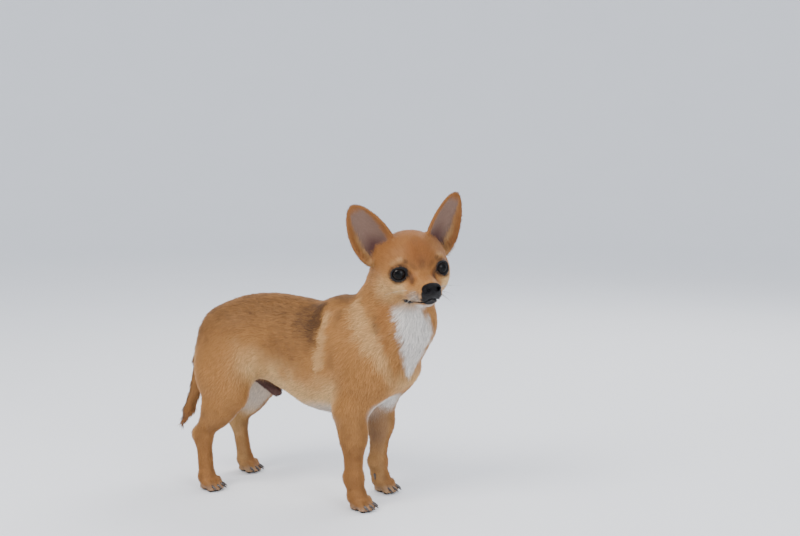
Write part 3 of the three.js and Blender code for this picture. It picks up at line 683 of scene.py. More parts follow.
@dataclass
class Anatomy:
    """All the rounded forms of the dog's flesh."""

    fore: dict[int, Foreleg] = field(default_factory=lambda: {s: Foreleg(s) for s in BOTH})
    hind: dict[int, Hindleg] = field(default_factory=lambda: {s: Hindleg(s) for s in BOTH})
    ears: dict[int, Ear] = field(default_factory=lambda: {s: Ear(s) for s in BOTH})

    def neck(self) -> Forms:
        """Shapes the neck and throat.

        Returns:
            Each form with its fillet, in mm.
        """
        w = WITHERS_HEIGHT
        base, middle, top = vec(98, 0, 0.8 * w), vec(120, -2, 0.95 * w), vec(129, -3, 1.09 * w)
        return [
            (Limb(base, middle, 43, 37, 0.84), 22),
            (Limb(middle, top, 38, 34, 0.92), 18),
            (Limb(vec(120, 0, 0.72 * w), vec(140, -8, 0.9 * w), 24, 28, 1), 26),
        ]

    def tail(self) -> Forms:
        """Shapes the hanging tail.

        Returns:
            Each form with its fillet, in mm.
        """
        w = WITHERS_HEIGHT
        path = [
            (vec(-104, 0, 0.86 * w), 9.5),
            (vec(-125, 0, 0.8 * w), 8.8),
            (vec(-138, 1, 0.64 * w), 7.8),
            (vec(-144, 2, 0.5 * w), 7.4),
            (vec(-157, 3, 0.36 * w), 6.4),
            (vec(-169, 3, 0.27 * w), 2.4),
        ]
        return [(Limb(a[0], b[0], a[1], b[1]), 4.0) for a, b in zip(path, path[1:])]

    def sheath(self) -> Forms:
        """Returns the form of the sheath under the belly."""
        w = WITHERS_HEIGHT
        return [(Limb(vec(-64, 0, 0.585 * w), vec(-31, 0, 0.505 * w), 5, 6.6, 0.95), 5.0)]

    def skull(self) -> Forms:
        """Shapes the head, in its own frame.

        Returns:
            Each form with its fillet, in mm.
        """
        half = HEAD_WIDTH / 2
        forms: Forms = [(Egg(vec(-31, 0, 8), (39, half, 34)), 1), (Egg(vec(-46, 0, -8), (26, 32, 24)), 12)]
        for s in BOTH:
            forms += [
                (Egg(vec(-30, s * 24, -12), (24, 16.5, 18)), 10),
                (Egg(vec(-15, s * 28, -1), (12, 9, 12)), 7),
                (Egg(vec(-9, s * 22, -11), (13, 10, 10)), 7),
                (Egg(vec(-3, s * 16, 11), (7, 10, 6)), 6),
                (Egg(vec(-36, s * 30, 14), (9, 7, 12)), 12),
            ]
        forms.append((Limb(vec(-6, 0, -15), vec(MUZZLE_LENGTH - 9, 0, -17), 18, 10.8, 1.08), 7))
        for s in BOTH:
            forms += [
                (Egg(vec(14, s * 7.5, -20.5), (12, 7.2, 8.4)), 3),
                (Egg(vec(0, s * 12, -20), (13, 9, 10)), 5),
                (Egg(vec(19.5, s * 6.2, -21.5), (7.5, 6.0, 6.5)), 3),
            ]
        forms.append((Limb(vec(-24, 0, -22), vec(15, 0, -29.2), 15, 5.6, 1.35), 6))
        return forms

    def outlooks(self) -> list[Limb]:
        """Works out the room in front of each eye that brow and cheek leave open.

        Returns:
            A form for each eye.
        """
        found = []
        for s in BOTH:
            near, far = (eye_centre(s) + gaze(s) * ahead for ahead in (EYE_RADIUS * 0.6, OUTLOOK["reach"]))
            found.append(Limb(near, far, OUTLOOK["near"], OUTLOOK["far"]))
        return found

    def lids(self) -> list[Lid]:
        """Returns the lids of both eyes."""
        return [Lid(eye_centre(s), gaze(s), EYE_RADIUS + LID_LIFT) for s in BOTH]

    def parts(self) -> dict[Part, Forms]:
        """Shapes each part of the body but the head and ears.

        Returns:
            The forms and fillets of each.
        """
        return {
            Part.TRUNK: [(Trunk(), 1.0)],
            Part.FORE_RIGHT: self.fore[-1].forms(),
            Part.HIND_RIGHT: self.hind[-1].forms(),
            Part.FORE_LEFT: self.fore[1].forms(),
            Part.HIND_LEFT: self.hind[1].forms(),
            Part.NECK: self.neck(),
            Part.TAIL: self.tail(),
            Part.SHEATH: self.sheath(),
        }

    def part_distances(self, points: Array) -> dict[Part, Array]:
        """Measures places against every part.

        Args:
            points: Places in mm, one a row.

        Returns:
            How far each place is from each part, in mm.
        """
        x, y, z = points.T
        found: dict[Part, Array] = {}
        for part, forms in self.parts().items():
            found[part] = np.min([form.distance(x, y, z) for form, _ in forms], axis=0)
        h = HEAD.to_head(points)
        found[Part.HEAD] = np.min([form.distance(*h.T) for form, _ in self.skull()], axis=0)
        for part, side in EARS.items():
            found[part] = self.ears[side].distance(h)
        return found


def mouth_line(y: Array) -> Array:
    """Returns the height of the line of the mouth, in the head's frame, at a place across it."""
    off = np.abs(y)
    return -25.6 - 3.4 * ease(off, 1, 10) + 1.6 * ease(off, 11, 19)


@dataclass
class Lattice:
    """A block of distances on grid lines, in which forms are melted together."""

    xs: Array
    ys: Array
    zs: Array
    values: Array = field(init=False)

    def __post_init__(self) -> None:
        """Starts the block empty."""
        self.values = np.full((len(self.xs), len(self.ys), len(self.zs)), EMPTY, np.float32)

    def window(self, form: Form, margin: float) -> tuple[tuple[slice, ...], tuple[Array, ...]]:
        """Finds what a form can change.

        Args:
            form: The form.
            margin: How far round it to look, in mm.

        Returns:
            The slices of the block, and their coordinates.
        """
        low, high = form.reach()
        cuts, axes = [], []
        for n, lines in enumerate((self.xs, self.ys, self.zs)):
            a, b = np.searchsorted(lines, [low[n] - margin, high[n] + margin])
            cuts.append(slice(a, b))
            shape = [1, 1, 1]
            shape[n] = -1
            axes.append(lines[a:b].astype(np.float32).reshape(shape))
        return tuple(cuts), tuple(axes)

    def add(self, form: Form, blend: float) -> None:
        """Melts a form into the block."""
        cuts, axes = self.window(form, blend * 0.5 + 8)
        self.values[cuts] = melt(self.values[cuts], form.distance(*axes), blend)

    def carve(self, form: Form, blend: float) -> None:
        """Takes a form out of the block, with a soft edge."""
        cuts, axes = self.window(form, blend)
        self.values[cuts] = -melt(-self.values[cuts], form.distance(*axes), blend)

    def crossings(self, inside: Array) -> tuple[Array, Array]:
        """Finds the cells that the surface crosses.

        Args:
            inside: Which grid points are inside it.

        Returns:
            The cells, and the middle of the crossings on the edges of each.
        """
        lines = (self.xs, self.ys, self.zs)
        count = np.zeros(np.array(inside.shape) - 1, np.int8)
        corners = [(c & 1, (c >> 1) & 1, c >> 2) for c in range(8)]
        for corner in corners:
            count += inside[tuple(slice(o, o + n) for o, n in zip(corner, count.shape))]
        cells = np.argwhere((count > 0) & (count < 8))
        total, hits = np.zeros((len(cells), 3)), np.zeros(len(cells))
        for corner in corners:
            for axis in range(3):
                if corner[axis]:
                    continue
                a = cells + corner
                b = a.copy()
                b[:, axis] += 1
                va, vb = self.values[tuple(a.T)].astype(float), self.values[tuple(b.T)].astype(float)
                crossed = (va < 0) != (vb < 0)
                t = np.where(crossed, va / np.where(crossed, va - vb, 1), 0)
                for n in range(3):
                    place = lines[n][a[:, n]] + (lines[n][b[:, n]] - lines[n][a[:, n]]) * t
                    total[:, n] += np.where(crossed, place, 0)
                hits += crossed
        return cells, total / hits[:, None]

    @staticmethod
    def quads(inside: Array, number: Array, axis: int) -> Array:
        """Joins the four cells round each grid edge that the surface crosses.

        Args:
            inside: Which grid points are inside the surface.
            number: The number of the vertex in each cell.
            axis: Which way the edges run.

        Returns:
            The four-sided faces.
        """
        u, v = [(1, 2), (2, 0), (0, 1)][axis]
        cut = [slice(1, -1)] * 3
        cut[axis] = slice(0, -1)
        ahead = [slice(1, -1)] * 3
        ahead[axis] = slice(1, None)
        first = inside[tuple(cut)]
        edge = np.argwhere(first != inside[tuple(ahead)])
        flip = ~first[tuple(edge.T)]
        edge[:, u] += 1
        edge[:, v] += 1
        ring = []
        for du, dv in ((1, 1), (0, 1), (0, 0), (1, 0)):
            cell = edge.copy()
            cell[:, u] -= du
            cell[:, v] -= dv
            ring.append(number[tuple(cell.T)])
        quad = np.stack(ring, 1)
        quad[flip] = quad[flip][:, ::-1]
        return quad

    def surface(self) -> tuple[Array, Array]:
        """Draws a surface where the distance is zero.

        Returns:
            Its points and four-sided faces.
        """
        inside = self.values < 0
        cells, points = self.crossings(inside)
        number = np.full(np.array(inside.shape) - 1, -1, np.int32)
        number[tuple(cells.T)] = np.arange(len(cells))
        return points, np.concatenate([self.quads(inside, number, axis) for axis in range(3)])


def grid_lines(start: float, *runs: tuple[float, float]) -> Array:
    """Lays out grid lines.

    Args:
        start: The first line.
        runs: Ends, each with the step up to it.

    Returns:
        The lines, in mm.
    """
    found = [start]
    for end, step in runs:
        n = max(1, round((end - found[-1]) / step))
        found.extend(np.linspace(found[-1], end, n + 1)[1:].tolist())
    return np.array(found)


def vertex_normals(points: Array, faces: Array) -> Array:
    """Works out the directions out of a surface.

    Args:
        points: Its vertices.
        faces: Its four-sided faces.

    Returns:
        The direction at each vertex.
    """
    a, b, c, d = [points[faces[:, n]] for n in range(4)]
    across = np.cross(c - a, d - b)
    total = np.zeros_like(points)
    for n in range(4):
        np.add.at(total, faces[:, n], across)
    return unit(total)


def blob(points: Array, centre: Point, radii: Point, soft: float = 0.5) -> Array:
    """Returns a soft patch: 1 within an egg-shaped space, 0 well outside it.

    Args:
        points: Places, in rows.
        centre: The middle of the patch.
        radii: Its half-sizes, at which it is half gone.
        soft: The share of its size over which it fades.

    Returns:
        The strength of the patch at each place.
    """
    off = np.linalg.norm((points - np.array(centre)) / np.array(radii), axis=1)
    return 1 - ease(off, 1 - soft, 1 + soft)


def band(points: Array, start: Point, end: Point, radius: float) -> Array:
    """Draws a soft stripe along a line.

    Args:
        points: Places in mm, one a row.
        start: One end.
        end: The other.
        radius: Half its width.

    Returns:
        The strength at each place, 1 on the line and 0 at twice the radius.
    """
    a, b = np.array(start, float), np.array(end, float)
    t = np.clip((points - a) @ (b - a) / ((b - a) @ (b - a)), 0, 1)
    off = np.linalg.norm(points - a - np.outer(t, b - a), axis=1)
    return 1 - ease(off, radius * 0.4, radius * 2)


def strongest(*patches: Array) -> Array:
    """Returns the strongest of several patches at each place."""
    return np.max(patches, axis=0)


@dataclass(frozen=True)
class Patch:
    """A soft patch on the body, in mm: an egg of three half-sizes, or a stripe of one radius.

    A stripe goes on to a second place. Much is the patch's strength in the middle. It has a twin on
    the other side of the body, unless it is told not to.
    """

    at: Point
    size: Union[Point, float]
    much: float = 1.0
    soft: float = 0.5
    to: Union[Point, None] = None
    twin: bool = True

    def one(self, points: Array, side: int) -> Array:
        """Works out the patch itself or its twin.

        Args:
            points: Places, in rows.
            side: 1 for the patch itself, -1 for its twin.

        Returns:
            The strength at each place.
        """
        turned = points * np.array([1, side, 1])
        if self.to is None:
            return blob(turned, self.at, self.size, self.soft) * self.much
        return band(turned, self.at, self.to, self.size) * self.much


def patched(points: Array, patches: tuple[Patch, ...]) -> Array:
    """Returns the strongest of several patches and their twins at each place."""
    own = [patch.one(points, 1) for patch in patches]
    return strongest(*own, *[patch.one(points, -1) for patch in patches if patch.twin])


DARK_FACE = (
    Patch((1.8, 15.4, -1.4), 0.7, to=(4.2, 14.2, -2.6)),  # inner corner of the eye
    Patch((MUZZLE_LENGTH - 2, 0, -20.5), (8.0, 12.0, 9.5), 1.0, 0.2),  # round the nose
    Patch((MUZZLE_LENGTH - 5.5, 0, -25.0), (6.5, 13.5, 5.5), 0.85, 0.45),  # upper lip
    Patch((MUZZLE_LENGTH, 0, -27.5), (9, 11, 4.5), 0.9, 0.3),  # front of the lips
    Patch((MUZZLE_LENGTH - 5.5, 0, -29.4), (7.5, 9.0, 3.6), 1.0, 0.35),  # lower lip
    Patch((0.6, 17.4, -29.4), (9.0, 5.5, 3.0), 1.0, 0.45),  # corner of the mouth
    Patch((-16.5, 38.4, -11.3), (1.7, 2.5, 1.2), 0.8, 0.4),  # spot on the cheek
)
WHITE_FACE = (
    Patch((9, 0, -37), (16, 12, 6.0), 0.9, 0.4),  # chin
    Patch((14, 13, -24.5), (10, 6.5, 6.0), 0.3, 0.8),  # side of the muzzle
)
WHITE_BREAST = (
    Patch((117, 0, 108), (24, 34, 17), 0.95, 0.3),  # low breast
    Patch((56, -4, 100), (38, 34, 15), 0.7, 0.6, twin=False),  # behind the elbows
)
# Pale inner thighs, made whiter still as painted bounce light.
WHITE_THIGHS_AND_PAINTED_LIGHT = (Patch((-70, 20, 100), (30, 16, 36), 0.6, 0.6),)
CREAM_FACE = (
    Patch((-4, 27, 11), 2.2, 0.38, to=(2, 20, 14)),  # brow
    Patch((-13, 33, -16), (16, 13, 13), 0.62, 0.7),  # cheek
    Patch((1, 25.7, -15.5), (7.5, 7, 7.5), 0.95, 0.6),  # below the eye
    Patch((0, 18, -30), (12, 9, 6), 0.6, 0.6),  # jaw
    Patch((14, 13, -23.5), (11, 7, 7), 0.4, 0.8),  # side of the muzzle
)
CREAM_BODY = (
    Patch((140, -4, 142), (16, 26, 16), 0.6, 0.7, twin=False),  # point of the breast
    Patch((-120, 26, 146), (10, 16, 30), 0.9, 0.6),  # buttock
    Patch((-112, 30, 62), (14, 16, 20), 0.6, 0.6),  # hock
)
RUFF_LINE = ((92, 32, 222), (101, 40, 207), (114, 42, 190), (126, 41, 168), (135, 36, 148))
RUFF_RADII = (8.5, 10.5, 7.0, 4.2)
RUFF_STRENGTHS = (0.45, 0.56, 0.55, 0.42)
CREAM_STRIPES = (
    Patch((57, 35, 214), 4.2, 0.5, to=(50, 43, 156)),  # stripe behind the shoulder
    *[
        Patch(at, radius, much, to=to)
        for at, to, radius, much in zip(RUFF_LINE, RUFF_LINE[1:], RUFF_RADII, RUFF_STRENGTHS)
    ],
)
DARK_BANDS = (
    Patch((43, 22, 221), 8.0, 1.25, to=(38, 42, 162)),  # band behind the pale stripe
    Patch((30, 24, 221), 17, 0.8, to=(22, 42, 160)),  # its softer rear
)
DARK_RIBS = (Patch((8, 40, 184), (42, 18, 36), 0.52, 0.7),)
DARK_SHOULDERS = (
    Patch((73, 30, 216), 5.0, 0.5, to=(67, 43, 160)),  # shoulder
    Patch((120, 41, 216), 3.4, 0.5, to=(122, 42, 200)),  # side of the neck
    Patch((76, 0, 228), (42, 24, 15), 0.75, 0.5),  # withers
)
DARK_FOREHEAD = (
    Patch((12, 0, 1), 3.4, 0.5, to=(4, 0, 14)),  # stop
    Patch((3, 0, 20), 4.6, 0.32, to=(-4, 0, 29)),  # forehead
)
SMUDGES = (
    Patch((4.6, 16.6, 11.0), (3.4, 3.6, 3.0), 0.7, 0.6),  # above the eye
    Patch((4.4, 13.6, 0.0), 2.5, 0.72, to=(8.8, 11.8, -9.0)),  # tear line
    Patch((9.5, 6.5, 3.0), 2.4, 0.42, to=(5.0, 11.5, 8.5)),  # frown
)
WHISKER_BED = (Patch((14, 14, -22.5), (12, 7, 6.5)),)
RUST_FACE = (
    Patch((0, 0, 20), (26, 19, 21), 1.0, 0.6),  # forehead
    Patch((-24, 0, 22), (36, 46, 30), 0.72),  # crown
    Patch((12, 0, -5), (12, 6, 7), 0.5),  # bridge of the nose
    Patch((8.5, 11.8, -5), (6, 4.5, 9), 0.95),  # tear stain
)
# Redder, darker coat along the crease on the side of the neck: painted shade in the crease.
PAINTED_NECK_CREASE_SHADE = (Patch((131, 38, 236), 6.5, 0.45, to=(129, 41, 186)),)
GREY_BODY = (
    Patch((-66, 18, 106), (27, 13, 34), 0.15),  # groin
    Patch((46, 0, 98), (36, 26, 12), 0.5),  # front of the belly
)
# Inner hind legs: paler coat, partly painted bounce light.
PALE_THIGHS_AND_PAINTED_LIGHT = (Patch((-70, 0, 100), (40, 60, 56)),)
THIN_GROIN = (Patch((-66, 14, 112), (24, 12, 28)),)
LONG_REAR = (Patch((-116, 24, 148), (12, 14, 28)),)
SHORT_MUZZLE = (Patch((24, 0, -18), (34, 26, 22), 1.0, 0.6),)
RUFF_FOLDS = tuple(Patch(at, 6, 1.9, to=to) for at, to in zip(RUFF_LINE, RUFF_LINE[1:]))
RIDGES = (
    Patch((57, 35, 214), 4.5, 1.2, to=(50, 43, 156)),  # stripe behind the shoulder
    Patch((134, 38, 238), 4, -1.8, to=(124, 42, 192)),  # side of the neck
    Patch((74, 32, 214), 4.5, -1.3, to=(67, 43, 160)),  # shoulder
    Patch((46, 28, 214), 6, -1.2, to=(42, 43, 165)),  # behind the stripe
    Patch((-44, 42, 172), 6, -1.5, to=(-52, 46, 124)),  # flank
    Patch((-98, 46, 100), 4, -1.3, to=(-100, 44, 78)),  # back of the thigh
    Patch((66, 42, 128), 5, -1.2, to=(73, 40, 104)),  # elbow
)
RIB_CAGE = Patch((12, 42, 158), (40, 16, 34), 0.4)
RIB_SPACING = 13.5
CHEEK_FURROW = Patch((8, 14, -5), 3, -0.8, to=(12, 13, -14))
BROW_FURROW = Patch((11, 0, 5), 3.5, -0.7, to=(-5, 0, 31))


@dataclass
class Markings:
    """The colours and the lie of the coat, worked out from where a place is on the body."""

    points: Array
    normals: Array
    anatomy: Anatomy
    away: dict[Part, Array] = field(init=False)
    head: Array = field(init=False)
    facing: Array = field(init=False)
    share: dict[Part, Array] = field(init=False)
    ear_u: Array = field(init=False)
    ear_v: Array = field(init=False)

    def __post_init__(self) -> None:
        """Measures each place against the parts of the body."""
        self.away = self.anatomy.part_distances(self.points)
        self.head = HEAD.to_head(self.points)
        leaves = [ear.nearest(self.head, 6.0) for ear in self.anatomy.ears.values()]
        self.ear_u, self.ear_v = [leaves[0][n] + leaves[1][n] for n in (1, 2)]
        self.facing = self.normals @ HEAD.turn
        weights = {part: np.exp(-np.maximum(off + 3, 0) / PART_FADE) for part, off in self.away.items()}
        for part in EARS:
            near = np.exp(-np.maximum(self.away[part], 0) / EAR_FADE)
            weights[part] = EAR_WEIGHT * near * (self.away[part] < 3)
        total = sum(weights.values())
        self.share = {part: weight / total for part, weight in weights.items()}

    def of(self, *parts: Part) -> Array:
        """Returns how much a place belongs to the named parts, from 0 to 1."""
        return sum(self.share[part] for part in parts)

    def part_number(self) -> Array:
        """Finds the part that each place belongs to most.

        Returns:
            The part's number at each place.
        """
        order = list(self.share)
        best = np.argmax([self.share[part] for part in order], axis=0)
        return np.array([part.value for part in order])[best]

    def legs(self) -> Array:
        """Returns how much a place belongs to the legs."""
        return self.of(Part.FORE_LEFT, Part.FORE_RIGHT, Part.HIND_LEFT, Part.HIND_RIGHT)

    def ears(self) -> Array:
        """Returns how much a place belongs to the ears."""
        return self.of(Part.EAR_LEFT, Part.EAR_RIGHT)

    def ear_inside(self) -> Array:
        """Tells the hollow side of each ear from its back.

        Returns:
            1 on the hollow side and 0 on the back or elsewhere.
        """
        found = np.zeros(len(self.points))
        for part, side in EARS.items():
            _, front, _ = self.anatomy.ears[side].axes()
            found += self.share[part] * ease(self.facing @ front, 0.0, 0.35)
        return np.clip(found, 0, 1)

    def ear_bowl(self) -> Array:
        """Returns 1 in the thinly haired bowl of each ear, inside its furred rims."""
        edge = np.abs(self.ear_u - 0.06) + 0.12 * (grain(self.points, 3, 31) - 0.5)
        return self.ear_inside() * (1 - ease(edge, 0.6, 0.84)) * (1 - ease(self.ear_v, 0.84, 0.96))

    def inward(self, low: float, high: float) -> Array:
        """Returns 1 where the skin faces the body's middle by more than high, and 0 below low."""
        return ease(-self.normals[:, 1] * np.sign(self.points[:, 1]), low, high)

    def along_trunk(self, line: tuple) -> Array:
        """Returns the height of one of the trunk's lines at each place."""
        at = np.clip((self.points[:, 0] - RUMP_X) / BODY_LENGTH, 0, 1)
        return Trunk().line(line, at) * WITHERS_HEIGHT

    def stirred(self) -> Array:
        """Moves the places about a little, so that the edges of markings run uneven.

        Returns:
            The moved places, in rows.
        """
        p = self.points
        along = (grain(p, 7, 51) - 0.5) * 9 + (grain(p, 2.2, 53) - 0.5) * 7
        return p + np.stack([along, 0 * along, (grain(p, 9, 52) - 0.5) * 12], 1)

    def round_eyes(self, far_low: float, far_high: float, near: float, off: float) -> Array:
        """Finds the ring round the opening of each eye.

        Args:
            far_low: How far from the eye's middle the ring starts to fade, in mm.
            far_high: How far from it the ring has gone.
            near: How far outside the opening's rim the ring starts to fade.
            off: How far outside the rim it has gone.

        Returns:
            The strength of the ring at each place.
        """
        rings = []
        for lid in self.anatomy.lids():
            far, past = lid.polar(self.head)
            rings.append((1 - ease(far, far_low, far_high)) * (1 - ease(past * far, near, off)))
        return strongest(*rings)

    def bare_dark(self) -> Array:
        """Finds where the skin is bare and black: lid rims, round the nose, lips and pads.

        Returns:
            The strength at each place, from 0 to 1.
        """
        h = self.head
        lips = 1 - ease(np.abs(h[:, 2] - mouth_line(h[:, 1])), 0.7, 1.7)
        lips = lips * ease(h[:, 0], -6, -2) * (self.away[Part.HEAD] < 3)
        lips = lips * (1 - 0.35 * (1 - ease(np.abs(h[:, 0] - 10), 2, 6)))
        pads = (1 - ease(self.points[:, 2], 2.0, 3.6)) * ease(-self.normals[:, 2], -0.2, 0.5)
        return strongest(self.round_eyes(13.0, 14.0, 0.3, 1.1), patched(h, DARK_FACE), lips, pads)

    def bib(self) -> Array:
        """Finds the white bib, which runs from the throat down to a point on the breast.

        Returns:
            The strength at each place, from 0 to 1.
        """
        p = self.points
        angle = np.degrees(np.arctan2(p[:, 1] + 4, p[:, 0] - 118))
        middle = np.interp(p[:, 2], [145, 185, 225, 240], [-8, -24, -37, -42])
        half = np.interp(p[:, 2], [146, 153, 168, 200, 228], [5, 15, 20, 24, 18])
        ragged = (grain(p, 7, 3) - 0.5) * 14 + (grain(p, 2.5, 4) - 0.5) * 8
        found = 1 - ease(np.abs(angle - middle) + ragged - half, -7, 7)
        return found * ease(p[:, 2], 144, 156) * (1 - ease(p[:, 2], 219, 234)) * ease(p[:, 0], 120, 130)

    def white(self) -> Array:
        """Finds where the coat is white: chin, throat, bib, between the forelegs, and the inner thighs, which
        are made whiter partly as painted bounce light.

        Returns:
            The strength at each place, from 0 to 1.
        """
        p = self.points
        toes = (1 - ease(p[:, 2] + (grain(p, 5, 5) - 0.5) * 8, 3, 12)) * 0.14
        # Inner thighs: pale coat, whitened further as painted bounce light.
        thighs = patched(p, WHITE_THIGHS_AND_PAINTED_LIGHT) * self.inward(-0.1, 0.5)
        front = strongest(self.bib() * 0.95, patched(p, WHITE_BREAST))
        return strongest(front, patched(self.head, WHITE_FACE), thighs, toes)

    def cream(self) -> Array:
        """Finds where the coat is cream: brows, cheeks, ruff, underline, buttocks and inner legs, with the
        inner hind legs made paler partly as painted bounce light.

        Returns:
            The strength at each place, from 0 to 1.
        """
        p = self.points
        above = p[:, 2] - self.along_trunk(Trunk.under) + (grain(p, 12, 7) - 0.5) * 20
        belly = (1 - ease(above, 12, 62)) * self.of(Part.TRUNK) ** 0.6
        belly = belly * ease(p[:, 0], -76, -48) * (1 - ease(p[:, 0], 60, 84)) * 0.95
        # Inner legs are cream; high on the hind legs they are made paler as painted bounce light.
        inner = self.legs() * self.inward(0.1, 0.7) * (0.3 + 0.7 * patched(p, PALE_THIGHS_AND_PAINTED_LIGHT))
        fringe = (1 - ease(np.abs(self.ear_u + 0.62), 0.1, 0.3)) * (1 - ease(self.ear_v, 0.3, 0.62)) * 0.45
        ears = self.ear_inside() * np.maximum(fringe, 0.3 * (1 - ease(self.ear_v, 0.0, 0.2)))
        stripes = patched(self.stirred(), CREAM_STRIPES)
        found = strongest(belly, patched(p, CREAM_BODY), patched(self.head, CREAM_FACE), stripes, inner, ears)
        return np.clip(found * (0.7 + 0.35 * grain(p, 4, 8) + 0.3 * grain(p, 1.4, 9)), 0, 1)

    def sable(self) -> Array:
        """Finds where the coat has dark tips: back, rump, tail, face and the band behind the shoulder.

        Returns:
            The strength at each place.
        """
        p, h, q = self.points, self.head, self.stirred()
        back = ease(p[:, 2] - self.along_trunk(Trunk.top) + (grain(p, 14, 11) - 0.5) * 20, -88, -6)
        back = back * (1 - ease(p[:, 0], 40, 64)) * self.of(Part.TRUNK, Part.HIND_LEFT, Part.HIND_RIGHT)
        streaks = grain(p * np.array([0.45, 1, 1]), 1.6, 15)
        uneven = 0.80 + 0.16 * grain(p, 9, 12) + 0.5 * (streaks - 0.45)
        fall = 0.1 + 0.9 * ease(p[:, 2], 150, 206)
        bands = patched(q, DARK_BANDS) * fall
        tail = self.of(Part.TAIL) * (0.35 + 0.4 * ease(-self.normals[:, 0], 0.0, 0.8))
        specks = patched(h, WHISKER_BED) * (0.26 + 0.74 * ease(grain(p, 1.5, 13), 0.5, 0.72))
        skull = 0.2 * self.of(Part.HEAD) * ease(h[:, 2], -6, 10)
        eyes = self.round_eyes(14, 17, 1.0, 3.4) * 0.7
        legs = self.legs() * (1 - ease(p[:, 2], 90, 130)) * (grain(p, 6, 14) * 0.4 + 0.1)
        rims = self.ears() * (0.16 + 0.12 * uneven)
        shoulders, forehead = patched(p, DARK_SHOULDERS), patched(h, DARK_FOREHEAD)
        marked = strongest(bands, patched(q, DARK_RIBS), shoulders, forehead)
        face = strongest(eyes, patched(h, SMUDGES), specks, skull)
        return strongest(back * 0.62 * uneven, marked * uneven, tail, face, legs, rims)

    def rust(self) -> Array:
        """Finds where the coat is redder: forehead, tear stains, ear rims, wrists and tail tip; along the
        crease on the side of the neck the darker red is painted shade.

        Returns:
            The strength at each place, from 0 to 1.
        """
        p = self.points
        wrists = self.legs() * (1 - ease(np.abs(p[:, 2] - 38), 16, 50)) * 0.32
        edge = np.maximum(ease(np.abs(self.ear_u), 0.62, 0.84), ease(self.ear_v, 0.8, 0.92))
        rims = self.ears() * np.where(self.ear_inside() > 0.3, edge * 0.8, 0.5)
        tail = self.of(Part.TAIL) * (1 - ease(p[:, 2], 66, 100)) * 0.75
        return strongest(patched(self.head, RUST_FACE), patched(p, PAINTED_NECK_CREASE_SHADE), wrists, rims, tail)

    def grey(self) -> Array:
        """Finds where grey skin shows through: inner ears, groin, belly front and inner forelegs.

        Returns:
            The strength at each place, from 0 to 1.
        """
        inner = self.inward(0.3, 0.9) * ease(self.points[:, 2], 40, 70) * 0.4
        inner = inner * self.of(Part.FORE_LEFT, Part.FORE_RIGHT)
        return strongest(self.ear_bowl() * 0.92, self.bare_sheath(), patched(self.points, GREY_BODY), inner)

    def bare_sheath(self) -> Array:
        """Returns where the sheath's bare skin is."""
        return ease(self.of(Part.SHEATH), 0.25, 0.75)

    def maroon(self) -> Array:
        """Finds where bare skin is dark red-brown on the sheath, and where the hollows deep in the ears are
        darkened to it as painted shade.

        Returns:
            The strength at each place, from 0 to 1.
        """
        # Deep in each ear's bowl and in the notch near its root the skin is darkened as painted shade; the
        # sheath's dark skin is its own colour.
        depth = self.ear_bowl() * (1 - ease(self.ear_v + 0.25 * np.abs(self.ear_u), 0.16, 0.58)) * 0.9
        notch = np.hypot((self.ear_u - 0.74) / 0.15, (self.ear_v - 0.16) / 0.045)
        pocket = self.ear_inside() * (1 - ease(notch, 0.5, 1.3)) * 0.9
        return strongest(depth, pocket, self.bare_sheath() * (0.5 + 0.4 * grain(self.points, 2.2, 33)))

    def relief(self) -> Array:
        """Works out the folds, ribs and tendons.

        Returns:
            How far each place stands out from the rounded forms, in mm.
        """
        p, h = self.points, self.head
        rise = 1.4 * (grain(p, 26, 41) - 0.5) * self.of(Part.TRUNK, Part.NECK)
        ribs = np.sin((p[:, 0] + 0.4 * p[:, 2]) * 2 * math.pi / RIB_SPACING)
        for side in BOTH:
            for fold in RUFF_FOLDS:
                rise = np.maximum(rise, fold.one(p, side))
            for ridge in RIDGES:
                rise = rise + ridge.one(p, side)
            rise = rise + ribs * RIB_CAGE.one(p, side) + CHEEK_FURROW.one(h, side)
        return rise + BROW_FURROW.one(h, 1)

    def length(self) -> Array:
        """Works out the length of the hair.

        Returns:
            The length at each place, in mm.
        """
        h, p = self.head, self.points
        head = 4.6 - 2.6 * patched(h, SHORT_MUZZLE) + 2.2 * ease(-h[:, 0], 20, 50)
        hair = sum(self.share[part] * mm for part, mm in HAIR_LENGTHS.items()) + self.share[Part.HEAD] * head
        hair = hair + self.legs() * np.interp(p[:, 2], *LEG_HAIR)
        fringe = ease(-self.ear_u, 0.35, 0.6) * (1 - ease(self.ear_v, 0.5, 0.8))
        inside = self.ear_inside() * (3.2 * fringe + 3 * (1 - ease(self.ear_v, 0.1, 0.3)))
        hair = hair + self.ears() * (2.8 + inside)
        return np.clip(hair + 3.5 * patched(p, LONG_REAR), 1.6, 13)

    def density(self) -> Array:
        """Works out how thickly the hair stands.

        Returns:
            The thickness at each place, about 1 where it is full.
        """
        bare = np.clip(self.bare_dark() * 1.4, 0, 1)
        thin = 1 - 0.8 * self.ear_bowl() - 0.3 * self.of(Part.SHEATH)
        groin = patched(self.points, THIN_GROIN)
        fine = 1 + self.of(Part.HEAD) * ease(self.head[:, 0], -30, 0) + 1.2 * self.of(Part.TAIL)
        return np.clip(thin * (1 - bare) * (1 - 0.5 * groin) * fine, 0, 3)

